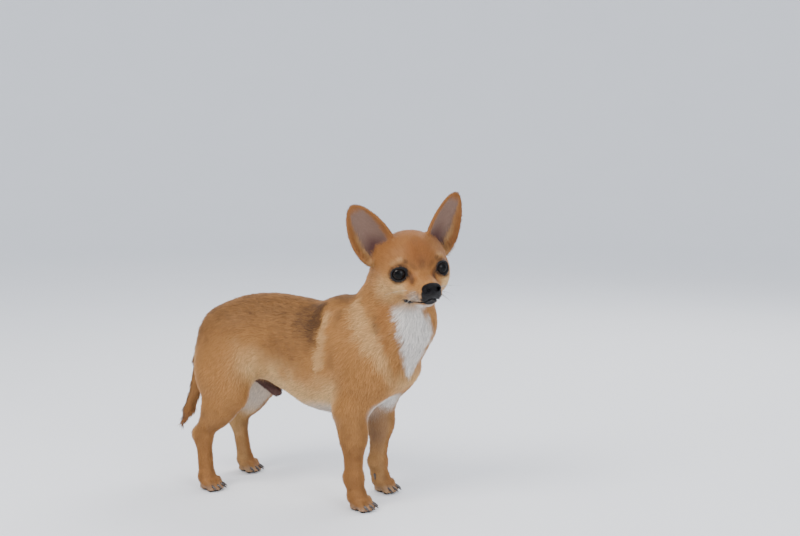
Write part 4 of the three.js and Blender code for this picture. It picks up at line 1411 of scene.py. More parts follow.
    def lie(self) -> Array:
        """Works out the way the hair lies, back along the body and down the legs.

        Returns:
            A direction along the skin at each place.
        """
        p, n, h = self.points, self.normals, self.head
        rows = np.ones(len(p))
        low = 1 - ease(p[:, 2], 130, 190)
        front = ease(n[:, 0], 0.1, 0.8)
        trunk = np.stack([-1 + 0.9 * front, 0 * rows, -0.2 - 0.55 * low - 0.9 * front], 1)
        neck = np.stack([-0.9 + 0.8 * front, 0 * rows, -0.55 - 0.5 * front], 1)
        paw = 1 - ease(p[:, 2], 6, 18)
        fore = np.stack([-0.12 + 1.1 * paw, 0 * rows, -1 + 0.5 * paw], 1)
        thigh = ease(p[:, 2], 60, 110)
        hind = np.stack([-0.5 * thigh + 1.1 * paw, 0 * rows, -1 + 0.5 * paw], 1)
        tail = np.tile(unit(vec(-0.36, 0, -0.93)), (len(p), 1))
        skull = unit(h - vec(36, 0, -15)) @ HEAD.turn.T
        flow = trunk * self.share[Part.TRUNK][:, None] + neck * self.share[Part.NECK][:, None]
        flow += fore * self.of(Part.FORE_LEFT, Part.FORE_RIGHT)[:, None]
        flow += hind * self.of(Part.HIND_LEFT, Part.HIND_RIGHT)[:, None]
        flow += tail * self.share[Part.TAIL][:, None] + skull * self.share[Part.HEAD][:, None]
        flow += vec(1, 0, -0.3) * self.share[Part.SHEATH][:, None]
        for part, side in EARS.items():
            axis, _, out = self.anatomy.ears[side].axes()
            spread = np.outer(-self.ear_u * self.ear_inside() * 0.9, out)
            flow += ((axis + spread) @ HEAD.turn.T) * self.share[part][:, None]
        stir = np.stack([grain(p, 16, 21 + k) - 0.5 for k in range(3)], 1)
        flow = unit(flow) + 0.5 * stir
        flow -= n * (flow * n).sum(1, keepdims=True)
        return unit(flow)


MARK_NAMES = ("white", "cream", "sable", "rust")
SKIN_NAMES = ("grey", "maroon", "dark")
TUFT_NAMES = ("along", "pick")


def to_metres(points: Array) -> Array:
    """Returns points in metres in the frame, from mm on the dog's own measures."""
    return (np.asarray(points) - SHIFT) * MM


def find_shift() -> Array:
    """Finds the frame on the dog, by its eyes.

    Returns:
        The place of the frame's origin on the dog's own measures, in mm.
    """
    offs = []
    for word, side in SIDES.items():
        low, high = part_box(f"eye_{word}")
        middle = (np.array(low) + np.array(high)) / 2 / MM
        offs.append(HEAD.to_body(eye_centre(side)) - middle)
    shift = np.mean(offs, axis=0)
    shift[2] = 0
    return shift


SHIFT = find_shift()


def tube(rings: int, sides: int) -> Array:
    """Joins rings of vertices that are numbered ring by ring.

    Args:
        rings: How many there are.
        sides: How many vertices each has.

    Returns:
        The triangles between them.
    """
    i, j = np.meshgrid(np.arange(rings - 1), np.arange(sides), indexing="ij")
    a, b = (i * sides + j).ravel(), (i * sides + (j + 1) % sides).ravel()
    return np.concatenate([np.stack([a, a + sides, b + sides], 1), np.stack([a, b + sides, b], 1)])


def fan(middle: int, first: int, sides: int) -> Array:
    """Returns the triangles between one vertex and a ring whose first vertex is given."""
    k = np.arange(sides)
    return np.stack([0 * k + middle, first + k, first + (k + 1) % sides], 1)


def closed_tube(rings: int, sides: int) -> Array:
    """Returns the triangles of a tube whose two end vertices are numbered after its rings."""
    end = rings * sides
    return np.concatenate([tube(rings, sides), fan(end, 0, sides), fan(end + 1, end - sides, sides)[:, ::-1]])


def make_object(name: str, points: Array, faces: Array) -> bpy.types.Object:
    """Makes a smooth mesh object whose faces all have as many corners.

    Args:
        name: The piece's name.
        points: Its vertices in mm, on the dog's own measures.
        faces: Vertex numbers, one face a row.

    Returns:
        The new object, linked to the scene.
    """
    mesh = bpy.data.meshes.new(name)
    mesh.vertices.add(len(points))
    mesh.vertices.foreach_set("co", to_metres(points).astype(np.float32).ravel())
    mesh.loops.add(faces.size)
    mesh.loops.foreach_set("vertex_index", faces.astype(np.int32).ravel())
    mesh.polygons.add(len(faces))
    mesh.polygons.foreach_set("loop_start", np.arange(len(faces), dtype=np.int32) * faces.shape[1])
    mesh.polygons.foreach_set("use_smooth", np.full(len(faces), True))
    mesh.update(calc_edges=True)
    piece = bpy.data.objects.new(name, mesh)
    bpy.context.scene.collection.objects.link(piece)
    return piece


def paint(piece: bpy.types.Object, name: str, values: Array) -> None:
    """Stores four values a vertex on a piece, for its material to read."""
    layer = piece.data.attributes.new(name, "FLOAT_COLOR", "POINT")
    layer.data.foreach_set("color", values.astype(np.float32).ravel())


def finish_piece(piece: bpy.types.Object, material: bpy.types.Material, slot: str, *nodes: str) -> None:
    """Gives a piece its material, and sets it on the frame in place of its nodes.

    Args:
        piece: The new piece.
        material: What it is made of.
        slot: Not used.
        nodes: The nodes that it stands for.
    """
    piece.data.materials.append(material)
    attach(piece, "root")
    if nodes:
        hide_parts(*nodes)
    LOG.info("%s: %d faces", piece.name, len(piece.data.polygons))


Value = Union["Socket", float]
Shade = Union["Socket", Colour]


@dataclass(frozen=True)
class Socket:
    """An output of a node, on which sums can be written."""

    shader: "Shader"
    out: bpy.types.NodeSocket

    def maths(self, operation: str, *values: Value) -> "Socket":
        """Returns the result of a Math node on these values."""
        return self.shader.node("ShaderNodeMath", {"operation": operation}, dict(enumerate(values)))

    def __add__(self, other: Value) -> "Socket":
        """Returns the sum."""
        return self.maths("ADD", self, other)

    def __mul__(self, other: Value) -> "Socket":
        """Returns the product."""
        return self.maths("MULTIPLY", self, other)

    def __sub__(self, other: Value) -> "Socket":
        """Returns the difference."""
        return self.maths("SUBTRACT", self, other)

    def __rsub__(self, other: Value) -> "Socket":
        """Returns the difference from a number."""
        return self.maths("SUBTRACT", other, self)

    __radd__ = __add__
    __rmul__ = __mul__

    def clamp(self) -> "Socket":
        """Returns the value held between 0 and 1."""
        return self.maths("MINIMUM", self.maths("MAXIMUM", self, 0.0), 1.0)

    def step(self, low: float, high: float) -> "Socket":
        """Returns 0 below low and 1 above high, with a soft run between them."""
        values = {0: self, 1: low, 2: high, 3: 0.0, 4: 1.0}
        return self.shader.node("ShaderNodeMapRange", {"interpolation_type": "SMOOTHSTEP"}, values)


class Shader:
    """A material's nodes, with one way to add any of them."""

    def __init__(self, name: str) -> None:
        """Starts a material that has its Principled shader and output.

        Args:
            name: The material's name.
        """
        self.material = bpy.data.materials.new(name)
        self.material.use_nodes = True
        self.tree = self.material.node_tree
        self.principled = self.tree.nodes["Principled BSDF"]

    def node(self, kind: str, settings: dict, values: dict, output: Union[int, str] = 0) -> Socket:
        """Adds a node.

        Args:
            kind: The node's type.
            settings: Its own settings, which are set first.
            values: Values or links of its inputs, by number or name.
            output: Which of its outputs to give back.

        Returns:
            That output.
        """
        made = self.tree.nodes.new(kind)
        for key, value in settings.items():
            setattr(made, key, value)
        for key, value in values.items():
            self.put(made.inputs[key], value)
        return Socket(self, made.outputs[output])

    def put(self, target: bpy.types.NodeSocket, value: Union[Value, tuple]) -> None:
        """Links or sets an input.

        Args:
            target: The input.
            value: What it gets.
        """
        if isinstance(value, Socket):
            self.tree.links.new(value.out, target)
        elif isinstance(value, tuple) and len(value) == 3 and target.type == "RGBA":
            target.default_value = (*value, 1)
        else:
            target.default_value = value

    def mix(self, factor: Value, a: Shade, b: Shade, how: str = "MIX") -> Socket:
        """Returns two colours mixed."""
        settings = {"data_type": "RGBA", "blend_type": how}
        return self.node("ShaderNodeMix", settings, {0: factor, 6: a, 7: b}, 2)

    def lit(self, colour: Socket, light: Socket) -> Socket:
        """Returns a colour made lighter or darker by a factor."""
        level = self.node("ShaderNodeCombineColor", {}, {n: light for n in range(3)})
        return self.mix(1.0, colour, level, "MULTIPLY")

    def place(self) -> Socket:
        """Returns the place in the dog's own space, in metres."""
        return self.node("ShaderNodeTexCoord", {}, {}, "Object")

    def noise(self, scale: float, detail: float = 3.0, roughness: float = 0.5) -> Socket:
        """Returns soft noise, scale to the metre."""
        values = {"Vector": self.place(), "Scale": scale, "Detail": detail, "Roughness": roughness}
        return self.node("ShaderNodeTexNoise", {}, values)

    def marks(self, name: str, parts: tuple[str, ...]) -> dict[str, Socket]:
        """Reads values that were stored on the mesh.

        Args:
            name: Their name on the mesh.
            parts: What each of them is called.

        Returns:
            The values, by name.
        """
        layer = self.tree.nodes.new("ShaderNodeAttribute")
        layer.attribute_name = name
        split = self.tree.nodes.new("ShaderNodeSeparateColor")
        self.tree.links.new(layer.outputs["Color"], split.inputs[0])
        outs = [split.outputs[0], split.outputs[1], split.outputs[2], layer.outputs["Alpha"]]
        return {part: Socket(self, out) for part, out in zip(parts, outs)}

    def bump(self, height: Socket, strength: float, distance: float) -> None:
        """Links a height to the shader's normal."""
        lift = self.node("ShaderNodeBump", {}, {"Height": height, "Strength": strength, "Distance": distance})
        self.put(self.principled.inputs["Normal"], lift)

    def set(self, **values: Union[Value, tuple]) -> None:
        """Sets inputs of the shader, with _ for a space in their names."""
        for key, value in values.items():
            self.put(self.principled.inputs[key.replace("_", " ")], value)


@dataclass(frozen=True)
class CoatColours:
    """The colours of the coat and of the skin that shows in places."""

    tan: Colour = (0.485, 0.222, 0.068)
    cream: Colour = (0.80, 0.495, 0.212)
    white: Colour = (0.90, 0.86, 0.80)
    rust: Colour = (0.33, 0.118, 0.030)
    sable: Colour = (0.095, 0.044, 0.018)
    grey: Colour = (0.235, 0.148, 0.116)
    # maroon is the sheath's own dark skin, and also the painted shade deep in the ears.
    maroon: Colour = (0.085, 0.026, 0.027)
    black: Colour = (0.007, 0.006, 0.0065)

    def mixed(self, shader: Shader, pick: Socket, tipped: Value) -> Socket:
        """Mixes the coat's colour from the marks on the mesh.

        Args:
            shader: The material being made.
            pick: A random value for each tuft.
            tipped: How strongly dark tips show.

        Returns:
            The colour.
        """
        coat = shader.marks("coat", MARK_NAMES)
        skin = shader.marks("skin", SKIN_NAMES)
        patchy = shader.noise(55, 4, 0.6)
        colour = shader.mix(coat["rust"] * (patchy * 0.6 + 0.7).clamp(), self.tan, self.rust)
        cream = coat["cream"] + (patchy - 0.5) * 0.25 * coat["cream"]
        colour = shader.mix(cream.clamp(), colour, self.cream)
        tips = (coat["sable"] * 1.5 - (1 - pick) * 0.6).clamp() * tipped
        colour = shader.mix(tips.clamp(), colour, self.sable)
        colour = shader.mix(coat["white"], colour, self.white)
        colour = shader.mix(skin["grey"], colour, self.grey)
        # Dark red-brown: the sheath's skin, and painted shade deep in the ears.
        colour = shader.mix(skin["maroon"], colour, self.maroon)
        return shader.mix(skin["dark"].step(0.35, 0.75), colour, self.black)


@dataclass(frozen=True)
class CoatFinish:
    """Short, sleek hair."""

    colours: CoatColours = CoatColours()
    roughness: float = 0.56
    sheen: float = 0.06
    specular: float = 0.22

    def material(self) -> bpy.types.Material:
        """Makes the material of the tufts.

        Returns:
            The material.
        """
        shader = Shader("short_coat")
        tuft = shader.marks("tuft", TUFT_NAMES)
        colour = self.colours.mixed(shader, tuft["pick"], tuft["along"] * 0.8 + 0.5)
        # The colour is darkened towards each tuft's root as painted shade between the hairs, and varied at
        # random from tuft to tuft.
        colour = shader.lit(colour, (tuft["pick"] * 0.42 + 0.76) * (tuft["along"] * 0.42 + 0.66))
        shader.set(Base_Color=colour, Roughness=self.roughness, Specular_IOR_Level=self.specular)
        shader.set(Sheen_Weight=self.sheen, Sheen_Roughness=0.4)
        return shader.material


@dataclass(frozen=True)
class SkinFinish:
    """The skin under the coat, in the coat's colours, with fine hair as a noise bump."""

    colours: CoatColours = CoatColours()
    tipped: float = 0.7
    specular: float = 0.22

    def material(self) -> bpy.types.Material:
        """Makes the material of the skin.

        Returns:
            The material.
        """
        shader = Shader("haired_skin")
        skin = shader.marks("skin", SKIN_NAMES)
        colour = self.colours.mixed(shader, shader.noise(900, 2), self.tipped)
        fine = shader.noise(1400, 4, 0.65)
        colour = shader.lit(colour, fine * 0.5 + 0.45)
        wet = skin["dark"].step(0.4, 0.8)
        shader.set(Base_Color=colour, Roughness=0.66 - wet * 0.14, Specular_IOR_Level=self.specular)
        shader.bump(fine + shader.noise(320, 3) * 0.8, 0.35, 0.0006)
        return shader.material


@dataclass(frozen=True)
class NoseFinish:
    """Moist, finely pebbled nose leather."""

    black: Colour = (0.004, 0.0035, 0.004)
    bloom: Colour = (0.013, 0.012, 0.0135)
    pebbles: float = 1150.0

    def material(self) -> bpy.types.Material:
        """Makes the material of the nose.

        Returns:
            The material.
        """
        shader = Shader("nose_leather")
        cells = {"Vector": shader.place(), "Scale": self.pebbles}
        pebble = shader.node("ShaderNodeTexVoronoi", {"feature": "DISTANCE_TO_EDGE"}, cells)
        dry = shader.noise(160, 3).step(0.4, 0.7)
        colour = shader.mix(dry * 0.6, self.black, self.bloom)
        shader.set(Base_Color=colour, Roughness=dry * 0.16 + 0.36, Specular_IOR_Level=0.07)
        shader.bump(pebble.step(0.0, 0.25), 0.55, 0.00025)
        return shader.material


@dataclass(frozen=True)
class EyeFinish:
    """A wet eye: black pupil in a very dark brown iris."""

    pupil: Colour = (0.002, 0.002, 0.002)
    iris: Colour = (0.008, 0.0045, 0.003)
    white: Colour = (0.026, 0.018, 0.016)

    def material(self) -> bpy.types.Material:
        """Makes the material of the eyes.

        Returns:
            The material.
        """
        shader = Shader("wet_eye")
        ring = shader.marks("eye", ("out",))
        fibres = shader.noise(1900, 3) * 0.5 + 0.6
        iris = shader.mix(fibres.clamp(), self.pupil, self.iris)
        colour = shader.mix(ring["out"].step(0.40, 0.48), self.pupil, iris)
        colour = shader.mix(ring["out"].step(0.72, 0.80), colour, self.pupil)
        colour = shader.mix(ring["out"].step(0.86, 0.98), colour, self.white)
        shader.set(Base_Color=colour, Roughness=0.1, Specular_IOR_Level=0.03)
        shader.set(Coat_Weight=0.2, Coat_Roughness=0.02)
        return shader.material


@dataclass(frozen=True)
class ClawFinish:
    """Dark horn with paler streaks."""

    dark: Colour = (0.030, 0.022, 0.020)
    pale: Colour = (0.085, 0.065, 0.055)

    def material(self) -> bpy.types.Material:
        """Makes the material of the claws.

        Returns:
            The material.
        """
        shader = Shader("dark_horn")
        streak = shader.noise(700, 4, 0.6)
        colour = shader.mix(streak.step(0.35, 0.75), self.dark, self.pale)
        shader.set(Base_Color=colour, Roughness=streak * 0.2 + 0.26, Coat_Weight=0.15)
        shader.bump(streak, 0.2, 0.0003)
        return shader.material


@dataclass(frozen=True)
class WhiskerFinish:
    """Stiff whiskers, pale or dark."""

    dark: Colour = (0.10, 0.085, 0.075)
    pale: Colour = (0.72, 0.69, 0.64)

    def material(self) -> bpy.types.Material:
        """Makes the material of the whiskers.

        Returns:
            The material.
        """
        shader = Shader("whisker")
        tuft = shader.marks("tuft", TUFT_NAMES)
        colour = shader.mix(tuft["pick"].step(0.60, 0.70), self.dark, self.pale)
        shader.set(Base_Color=colour, Roughness=0.35)
        return shader.material


@dataclass(frozen=True)
class FloorFinish:
    """A plain pale floor."""

    pale: Colour = (0.88, 0.885, 0.90)
    shade: Colour = (0.85, 0.856, 0.875)

    def material(self) -> bpy.types.Material:
        """Makes the material of the floor.

        Returns:
            The material.
        """
        shader = Shader("pale_floor")
        cloud = shader.noise(3.0, 4)
        shader.set(Base_Color=shader.mix(cloud, self.shade, self.pale), Roughness=0.85)
        return shader.material


@dataclass
class Unwrap:
    """An unwrap of the skin: each part is laid out as six flat patches, one for each way it can face."""

    gap: float = 3.0
    start_scale: float = 1 / 700.0
    shrink: float = 0.97
    cells: dict[int, tuple[Array, Array]] = field(default_factory=dict)
    scale: float = 1.0

    @staticmethod
    def keys(parts: Array, normals: Array) -> tuple[Array, Array]:
        """Sorts places into patches.

        Args:
            parts: The part of the body of each.
            normals: The way each faces.

        Returns:
            The patch of each place, and the axis that it faces along.
        """
        axis = np.argmax(np.abs(normals), axis=1)
        sign = (np.take_along_axis(normals, axis[:, None], 1)[:, 0] > 0).astype(int)
        return parts * 6 + axis * 2 + sign, axis

    @staticmethod
    def flat(points: Array, axis: Array) -> Array:
        """Lays places flat across the axis they face along.

        Args:
            points: Places in mm, one a row.
            axis: The axis that each faces along.

        Returns:
            Two measures of each, in mm.
        """
        first = np.where(axis == 0, points[:, 1], points[:, 0])
        second = np.where(axis == 2, points[:, 1], points[:, 2])
        return np.stack([first, second], 1)

    def lay_out(self, points: Array, keys: Array, axis: Array) -> None:
        """Packs the patches in rows in the unit square.

        Args:
            points: Places all over the skin, in mm.
            keys: The patch of each.
            axis: The axis that each faces along.
        """
        flat = self.flat(points, axis)
        boxes = {}
        for key in np.unique(keys).tolist():
            mine = flat[keys == key]
            boxes[key] = (mine.min(0) - self.gap, mine.max(0) + self.gap)
        order = sorted(boxes, key=lambda k: -(boxes[k][1] - boxes[k][0])[1])
        self.scale = self.start_scale
        while True:
            room, at, tall = 1 / self.scale, np.zeros(2), 0.0
            for key in order:
                size = boxes[key][1] - boxes[key][0]
                if at[0] + size[0] > room:
                    at, tall = np.array([0.0, at[1] + tall]), 0.0
                self.cells[key] = (boxes[key][0], at.copy())
                at[0] += size[0]
                tall = max(tall, size[1])
            if at[1] + tall <= room:
                return
            self.scale *= self.shrink

    def place(self, points: Array, keys: Array, axis: Array) -> Array:
        """Finds where places lie on the unwrap.

        Args:
            points: Places in mm, one a row.
            keys: The patch of each.
            axis: The axis that each faces along.

        Returns:
            The map's u and v of each.
        """
        flat = self.flat(points, axis)
        lows, spots = np.zeros((len(keys), 2)), np.zeros((len(keys), 2))
        for key, (box_low, spot) in self.cells.items():
            mine = keys == key
            lows[mine], spots[mine] = box_low, spot
        return (flat - lows + spots) * self.scale


def set_uv(piece: bpy.types.Object, uv: Array) -> None:
    """Stores a corner-by-corner map named OFBake on a piece."""
    layer = piece.data.uv_layers.new(name="OFBake")
    layer.data.foreach_set("uv", uv.astype(np.float32).ravel())


@dataclass
class Skin:
    """The one skin of the dog, from nose to tail."""

    anatomy: Anatomy
    fine: float = 1.0
    coarse: float = 2.0
    points: Array = field(init=False)
    normals: Array = field(init=False)
    faces: Array = field(init=False)
    marks: Markings = field(init=False)
    unwrap: Unwrap = field(default_factory=Unwrap)
    keys: Array = field(init=False)
    axis: Array = field(init=False)
    coat: Array = field(init=False)
    bare: Array = field(init=False)

    def flesh(self) -> Lattice:
        """Melts the whole dog's flesh together.

        Returns:
            The distances from its surface, on a lattice.
        """
        f, c = self.fine, self.coarse
        block = Lattice(
            grid_lines(REAR, (SHOULDER, c), (FRONT, f)),
            grid_lines(RIGHT, (LEFT, f * 1.2)),
            grid_lines(GROUND, (WRIST, f * 1.15), (BACK, c), (TOP, f)),
        )
        for forms in self.anatomy.parts().values():
            for form, blend in forms:
                block.add(form, blend)
        head = Lattice(block.xs, block.ys, block.zs)
        for form, blend in self.anatomy.skull():
            head.add(Turned(form), blend)
        for form in self.anatomy.outlooks():
            head.carve(Turned(form), OUTLOOK["blend"])
        for form in self.anatomy.lids():
            head.add(Turned(form), LID_BLEND)
        near = (head.values < MELT_REACH) | (block.values < MELT_REACH)
        block.values[near] = melt(block.values[near], head.values[near], HEAD_BLEND)
        self.add_ears(block)
        self.cut_mouth(block)
        block.values = np.maximum(block.values, -block.zs.astype(np.float32)[None, None, :])
        return block

    def head_points(self, block: Lattice, margin: float) -> tuple[Array, Array]:
        """Finds the lattice's places round the head.

        Args:
            block: The lattice.
            margin: How far round the eyes, in mm.

        Returns:
            Their numbers on the lattice, and where they are in the head's frame.
        """
        low, high = HEAD.eye_line - margin, HEAD.eye_line + margin
        axes = (block.xs, block.ys, block.zs)
        cells = [np.nonzero((lines > low[n]) & (lines < high[n]))[0] for n, lines in enumerate(axes)]
        index = np.stack(np.meshgrid(*cells, indexing="ij"), -1).reshape(-1, 3)
        places = np.stack([lines[index[:, n]] for n, lines in enumerate(axes)], 1)
        return index, HEAD.to_head(places)

    def add_ears(self, block: Lattice) -> None:
        """Melts the two ears into the head.

        Args:
            block: The flesh.
        """
        index, h = self.head_points(block, 96)
        for side, ear in self.anatomy.ears.items():
            near = (h[:, 1] * side > 8) & (h[:, 2] > 0) & (h[:, 0] > -60) & (h[:, 0] < 4)
            cells = tuple(index[near].T)
            block.values[cells] = melt(block.values[cells], ear.distance(h[near]), EAR_BLEND)

    def cut_mouth(self, block: Lattice) -> None:
        """Cuts the line of the mouth into the lips.

        Args:
            block: The flesh.
        """
        index, h = self.head_points(block, 60)
        off = np.abs(h[:, 2] - mouth_line(h[:, 1]))
        near = (h[:, 0] > -6) & (off < 3)
        cells = tuple(index[near].T)
        flesh = block.values[cells]
        groove = np.maximum(off[near] - MOUTH["half_height"], -(flesh + MOUTH["depth"]))
        groove = np.maximum(groove, -MOUTH["back"] - h[near, 0])
        block.values[cells] = np.maximum(flesh, -groove)

    def draw(self) -> bpy.types.Object:
        """Draws the skin, with its markings and unwrap.

        Returns:
            The piece.
        """
        points, self.faces = self.flesh().surface()
        LOG.info("skin drawn: %d points", len(points))
        normals = vertex_normals(points, self.faces)
        self.marks = Markings(points, normals, self.anatomy)
        sunk = np.clip(0.26 * self.marks.length(), 0.3, 2.4) * (1 - 0.85 * self.marks.ears())
        sunk = sunk * (1 - np.clip(self.marks.bare_dark() * 1.2, 0, 1)) * ease(points[:, 2], 0.5, 6)
        self.points = points + normals * (self.marks.relief() - sunk)[:, None]
        self.normals = vertex_normals(self.points, self.faces)
        piece = make_object("skin", self.points, self.faces)
        marks, spare = self.marks, np.full(len(points), 0.5)
        self.coat = np.stack([marks.white(), marks.cream(), marks.sable(), marks.rust()], 1)
        self.bare = np.stack([marks.grey(), marks.maroon(), marks.bare_dark(), spare], 1)
        paint(piece, "coat", self.coat)
        paint(piece, "skin", self.bare)
        corners = self.points[self.faces]
        out = unit(np.cross(corners[:, 2] - corners[:, 0], corners[:, 3] - corners[:, 1]))
        self.keys, self.axis = self.unwrap.keys(marks.part_number()[self.faces[:, 0]], out)
        self.unwrap.lay_out(corners.mean(1), self.keys, self.axis)
        keys, axis = np.repeat(self.keys, 4), np.repeat(self.axis, 4)
        set_uv(piece, self.unwrap.place(corners.reshape(-1, 3), keys, axis))
        return piece


@dataclass
class Tufts:
    """Many thin, tapered tufts, each rooted in the skin and bent along its lie."""

    roots: Array
    up: Array
    lie: Array
    length: Array
    width: Array
    lift: Array
    pick: Array
    coat: Array
    bare: Array
    keys: Array
    axis: Array

    def some(self, group: Array) -> "Tufts":
        """Returns some of the tufts, by number."""
        return Tufts(**{name: values[group] for name, values in vars(self).items()})

    def shapes(self) -> tuple[Array, Array, Array, Array]:
        """Draws the tufts as solid, three-sided points.

        Returns:
            Their vertices and triangles, and the shading normal and place along the tuft of each vertex.
        """
        n = len(self.roots)
        side = unit(np.cross(self.lie, self.up))
        length, lift = self.length[:, None], self.lift[:, None]
        spine = [
            self.roots - self.up * 0.25,
            self.roots + (self.lie * 0.5 + self.up * lift * 0.95) * length,
            self.roots + (self.lie * 1.0 + self.up * lift * 0.95) * length,
        ]
        verts, along = [], []
        for step, size in ((0, 1.0), (1, 0.8)):
            for turn in range(3):
                a = 2 * math.pi * turn / 3 + math.pi / 2
                ring = side * math.cos(a) + self.up * math.sin(a) * 0.6
                verts.append(spine[step] + ring * (self.width * size / 2)[:, None])
                along.append(np.full(n, 0.55 * step))
        verts.append(spine[2])
        along.append(np.ones(n))
        points = np.stack(verts, 1).reshape(-1, 3)
        tris = [(0, 1, 2)]
        for k in range(3):
            m = (k + 1) % 3
            tris += [(k, 3 + k, m), (m, 3 + k, 3 + m), (3 + k, 6, 3 + m)]
        faces = (np.array(tris)[None] + (np.arange(n) * TUFT_POINTS)[:, None, None]).reshape(-1, 3)
        shading = np.repeat(unit(self.up + self.lie * 0.15), TUFT_POINTS, axis=0)
        return points, faces, shading, np.stack(along, 1).reshape(-1)


@dataclass
class Coat:
    """The short coat, in pieces that each stay under a set number of tufts."""

    skin: Skin
    tufts: int = 146000
    most: int = 19500
    seed: int = 11
    stray: float = 0.17
    lowest: float = 0.15

    def sample(self) -> tuple[Array, Array, Array]:
        """Draws the roots of the tufts.

        Returns:
            The face of each root, which half of the face, and the share of each of its three corners.
        """
        rng = np.random.default_rng(self.seed)
        faces, points = self.skin.faces, self.skin.points
        halves = np.stack([faces[:, [0, 1, 2]], faces[:, [0, 2, 3]]], 1).reshape(-1, 3)
        a, b, c = [points[halves[:, k]] for k in range(3)]
        area = np.linalg.norm(np.cross(b - a, c - a), axis=1) / 2
        marks = self.skin.marks
        finer = (7.0 / np.clip(marks.length(), 2.2, 9)) ** 0.9
        thick = (marks.density() * finer)[halves].mean(1)
        weight = np.cumsum(area * thick)
        spots = (np.arange(self.tufts) + rng.random(self.tufts)) / self.tufts * weight[-1]
        picked = np.searchsorted(weight, spots)
        u, v = rng.random(self.tufts), rng.random(self.tufts)
        swap = u + v > 1
        u[swap], v[swap] = 1 - u[swap], 1 - v[swap]
        return picked, halves[picked], np.stack([1 - u - v, u, v], 1)

    def comb(self) -> Tufts:
        """Works out every tuft, from the skin's marks and seeded chance.

        Returns:
            All the tufts.
        """
        rng = np.random.default_rng(self.seed + 1)
        skin = self.skin
        picked, corners, share = self.sample()

        def over(values: Array) -> Array:
            """Returns a value of the skin at each root."""
            at = values[corners]
            return (at * share.reshape(share.shape + (1,) * (at.ndim - 2))).sum(1)

        roots, up = over(skin.points), unit(over(skin.normals))
        lie = unit(over(skin.marks.lie()) + rng.normal(0, self.stray, (self.tufts, 3)))
        lie = unit(lie - up * (lie * up).sum(1, keepdims=True))
        pick = rng.random(self.tufts)
        length = over(skin.marks.length()) * (0.72 + 0.5 * rng.random(self.tufts))
        lift = np.clip(0.24 + 0.05 * rng.normal(size=self.tufts), 0.14, 0.42)
        lift = lift * (1 - 0.45 * over(skin.marks.ears()))
        width = np.clip(0.34 + 0.05 * length, 0.34, 0.85) * (0.75 + 0.5 * rng.random(self.tufts))
        colours = over(skin.coat), over(skin.bare)
        patches = skin.keys[picked // 2], skin.axis[picked // 2]
        return Tufts(roots, up, lie, length, width, lift, pick, *colours, *patches)

    def lay(self, name: str, tufts: Tufts, material: bpy.types.Material) -> None:
        """Builds one piece of the coat.

        Args:
            name: The piece's name.
            tufts: Its tufts.
            material: What the coat is made of.
        """
        points, faces, shading, along = tufts.shapes()
        points[:, 2] = np.maximum(points[:, 2], self.lowest)
        piece = make_object(name, points, faces)
        paint(piece, "coat", np.repeat(tufts.coat, TUFT_POINTS, axis=0))
        paint(piece, "skin", np.repeat(tufts.bare, TUFT_POINTS, axis=0))
        pick = np.repeat(tufts.pick, TUFT_POINTS)
        paint(piece, "tuft", np.stack([along, pick, 0 * pick, 0 * pick], 1))
        piece.data.normals_split_custom_set_from_vertices(shading)
        spot = self.skin.unwrap.place(tufts.roots, tufts.keys, tufts.axis)
        patch = np.array(TUFT_MAP) * TUFT_PATCH - TUFT_PATCH / 2
        set_uv(piece, (spot[:, None, :] + patch[None]).reshape(-1, 2)[faces.ravel()])
        finish_piece(piece, material, "coat_tan")

    def grow(self) -> None:
        """Grows the coat in pieces, from the rump to the head."""
        tufts, material = self.comb(), CoatFinish().material()
        order = np.argsort(tufts.roots[:, 0], kind="stable")
        for number, group in enumerate(np.array_split(order, math.ceil(self.tufts / self.most))):
            self.lay(f"coat_{number + 1}", tufts.some(group), material)


@dataclass
class Eyes:
    """The two eyes, each with a raised cornea."""

    rings: int = 40
    sides: int = 64
    bulge: float = 0.35
    inset: float = 0.25

    def ball(self) -> tuple[Array, Array]:
        """Draws an eyeball that looks along +X.

        Returns:
            Its points ring by ring and the front and rear ones last, and the angle of each from the front.
        """
        theta = np.linspace(0.0, math.pi, self.rings + 1)[1:-1]
        turn = np.linspace(0, 2 * math.pi, self.sides, endpoint=False)
        t, a = (grid.ravel() for grid in np.meshgrid(theta, turn, indexing="ij"))
        t, a = np.append(t, [0.0, math.pi]), np.append(a, [0.0, 0.0])
        radius = EYE_RADIUS - self.inset + self.bulge * (1 - ease(t, 0.35, 0.8))
        return np.stack([np.cos(t), np.sin(t) * np.cos(a), np.sin(t) * np.sin(a)], 1) * radius[:, None], t

    def build(self) -> None:
        """Builds both eyes and sets them in place of their nodes."""
        material = EyeFinish().material()
        ball, angle = self.ball()
        for word, side in SIDES.items():
            forward = gaze(side)
            left = unit(np.cross(vec(0, 0, 1), forward))
            frame_of = np.stack([forward, left, np.cross(forward, left)])
            points = HEAD.to_body(ball @ frame_of + eye_centre(side))
            piece = make_object(f"eyeball_{word}", points, closed_tube(self.rings - 1, self.sides))
            paint(piece, "eye", np.stack([angle / LID_OPEN] * 4, 1))
            finish_piece(piece, material, "eye", f"eye_{word}")


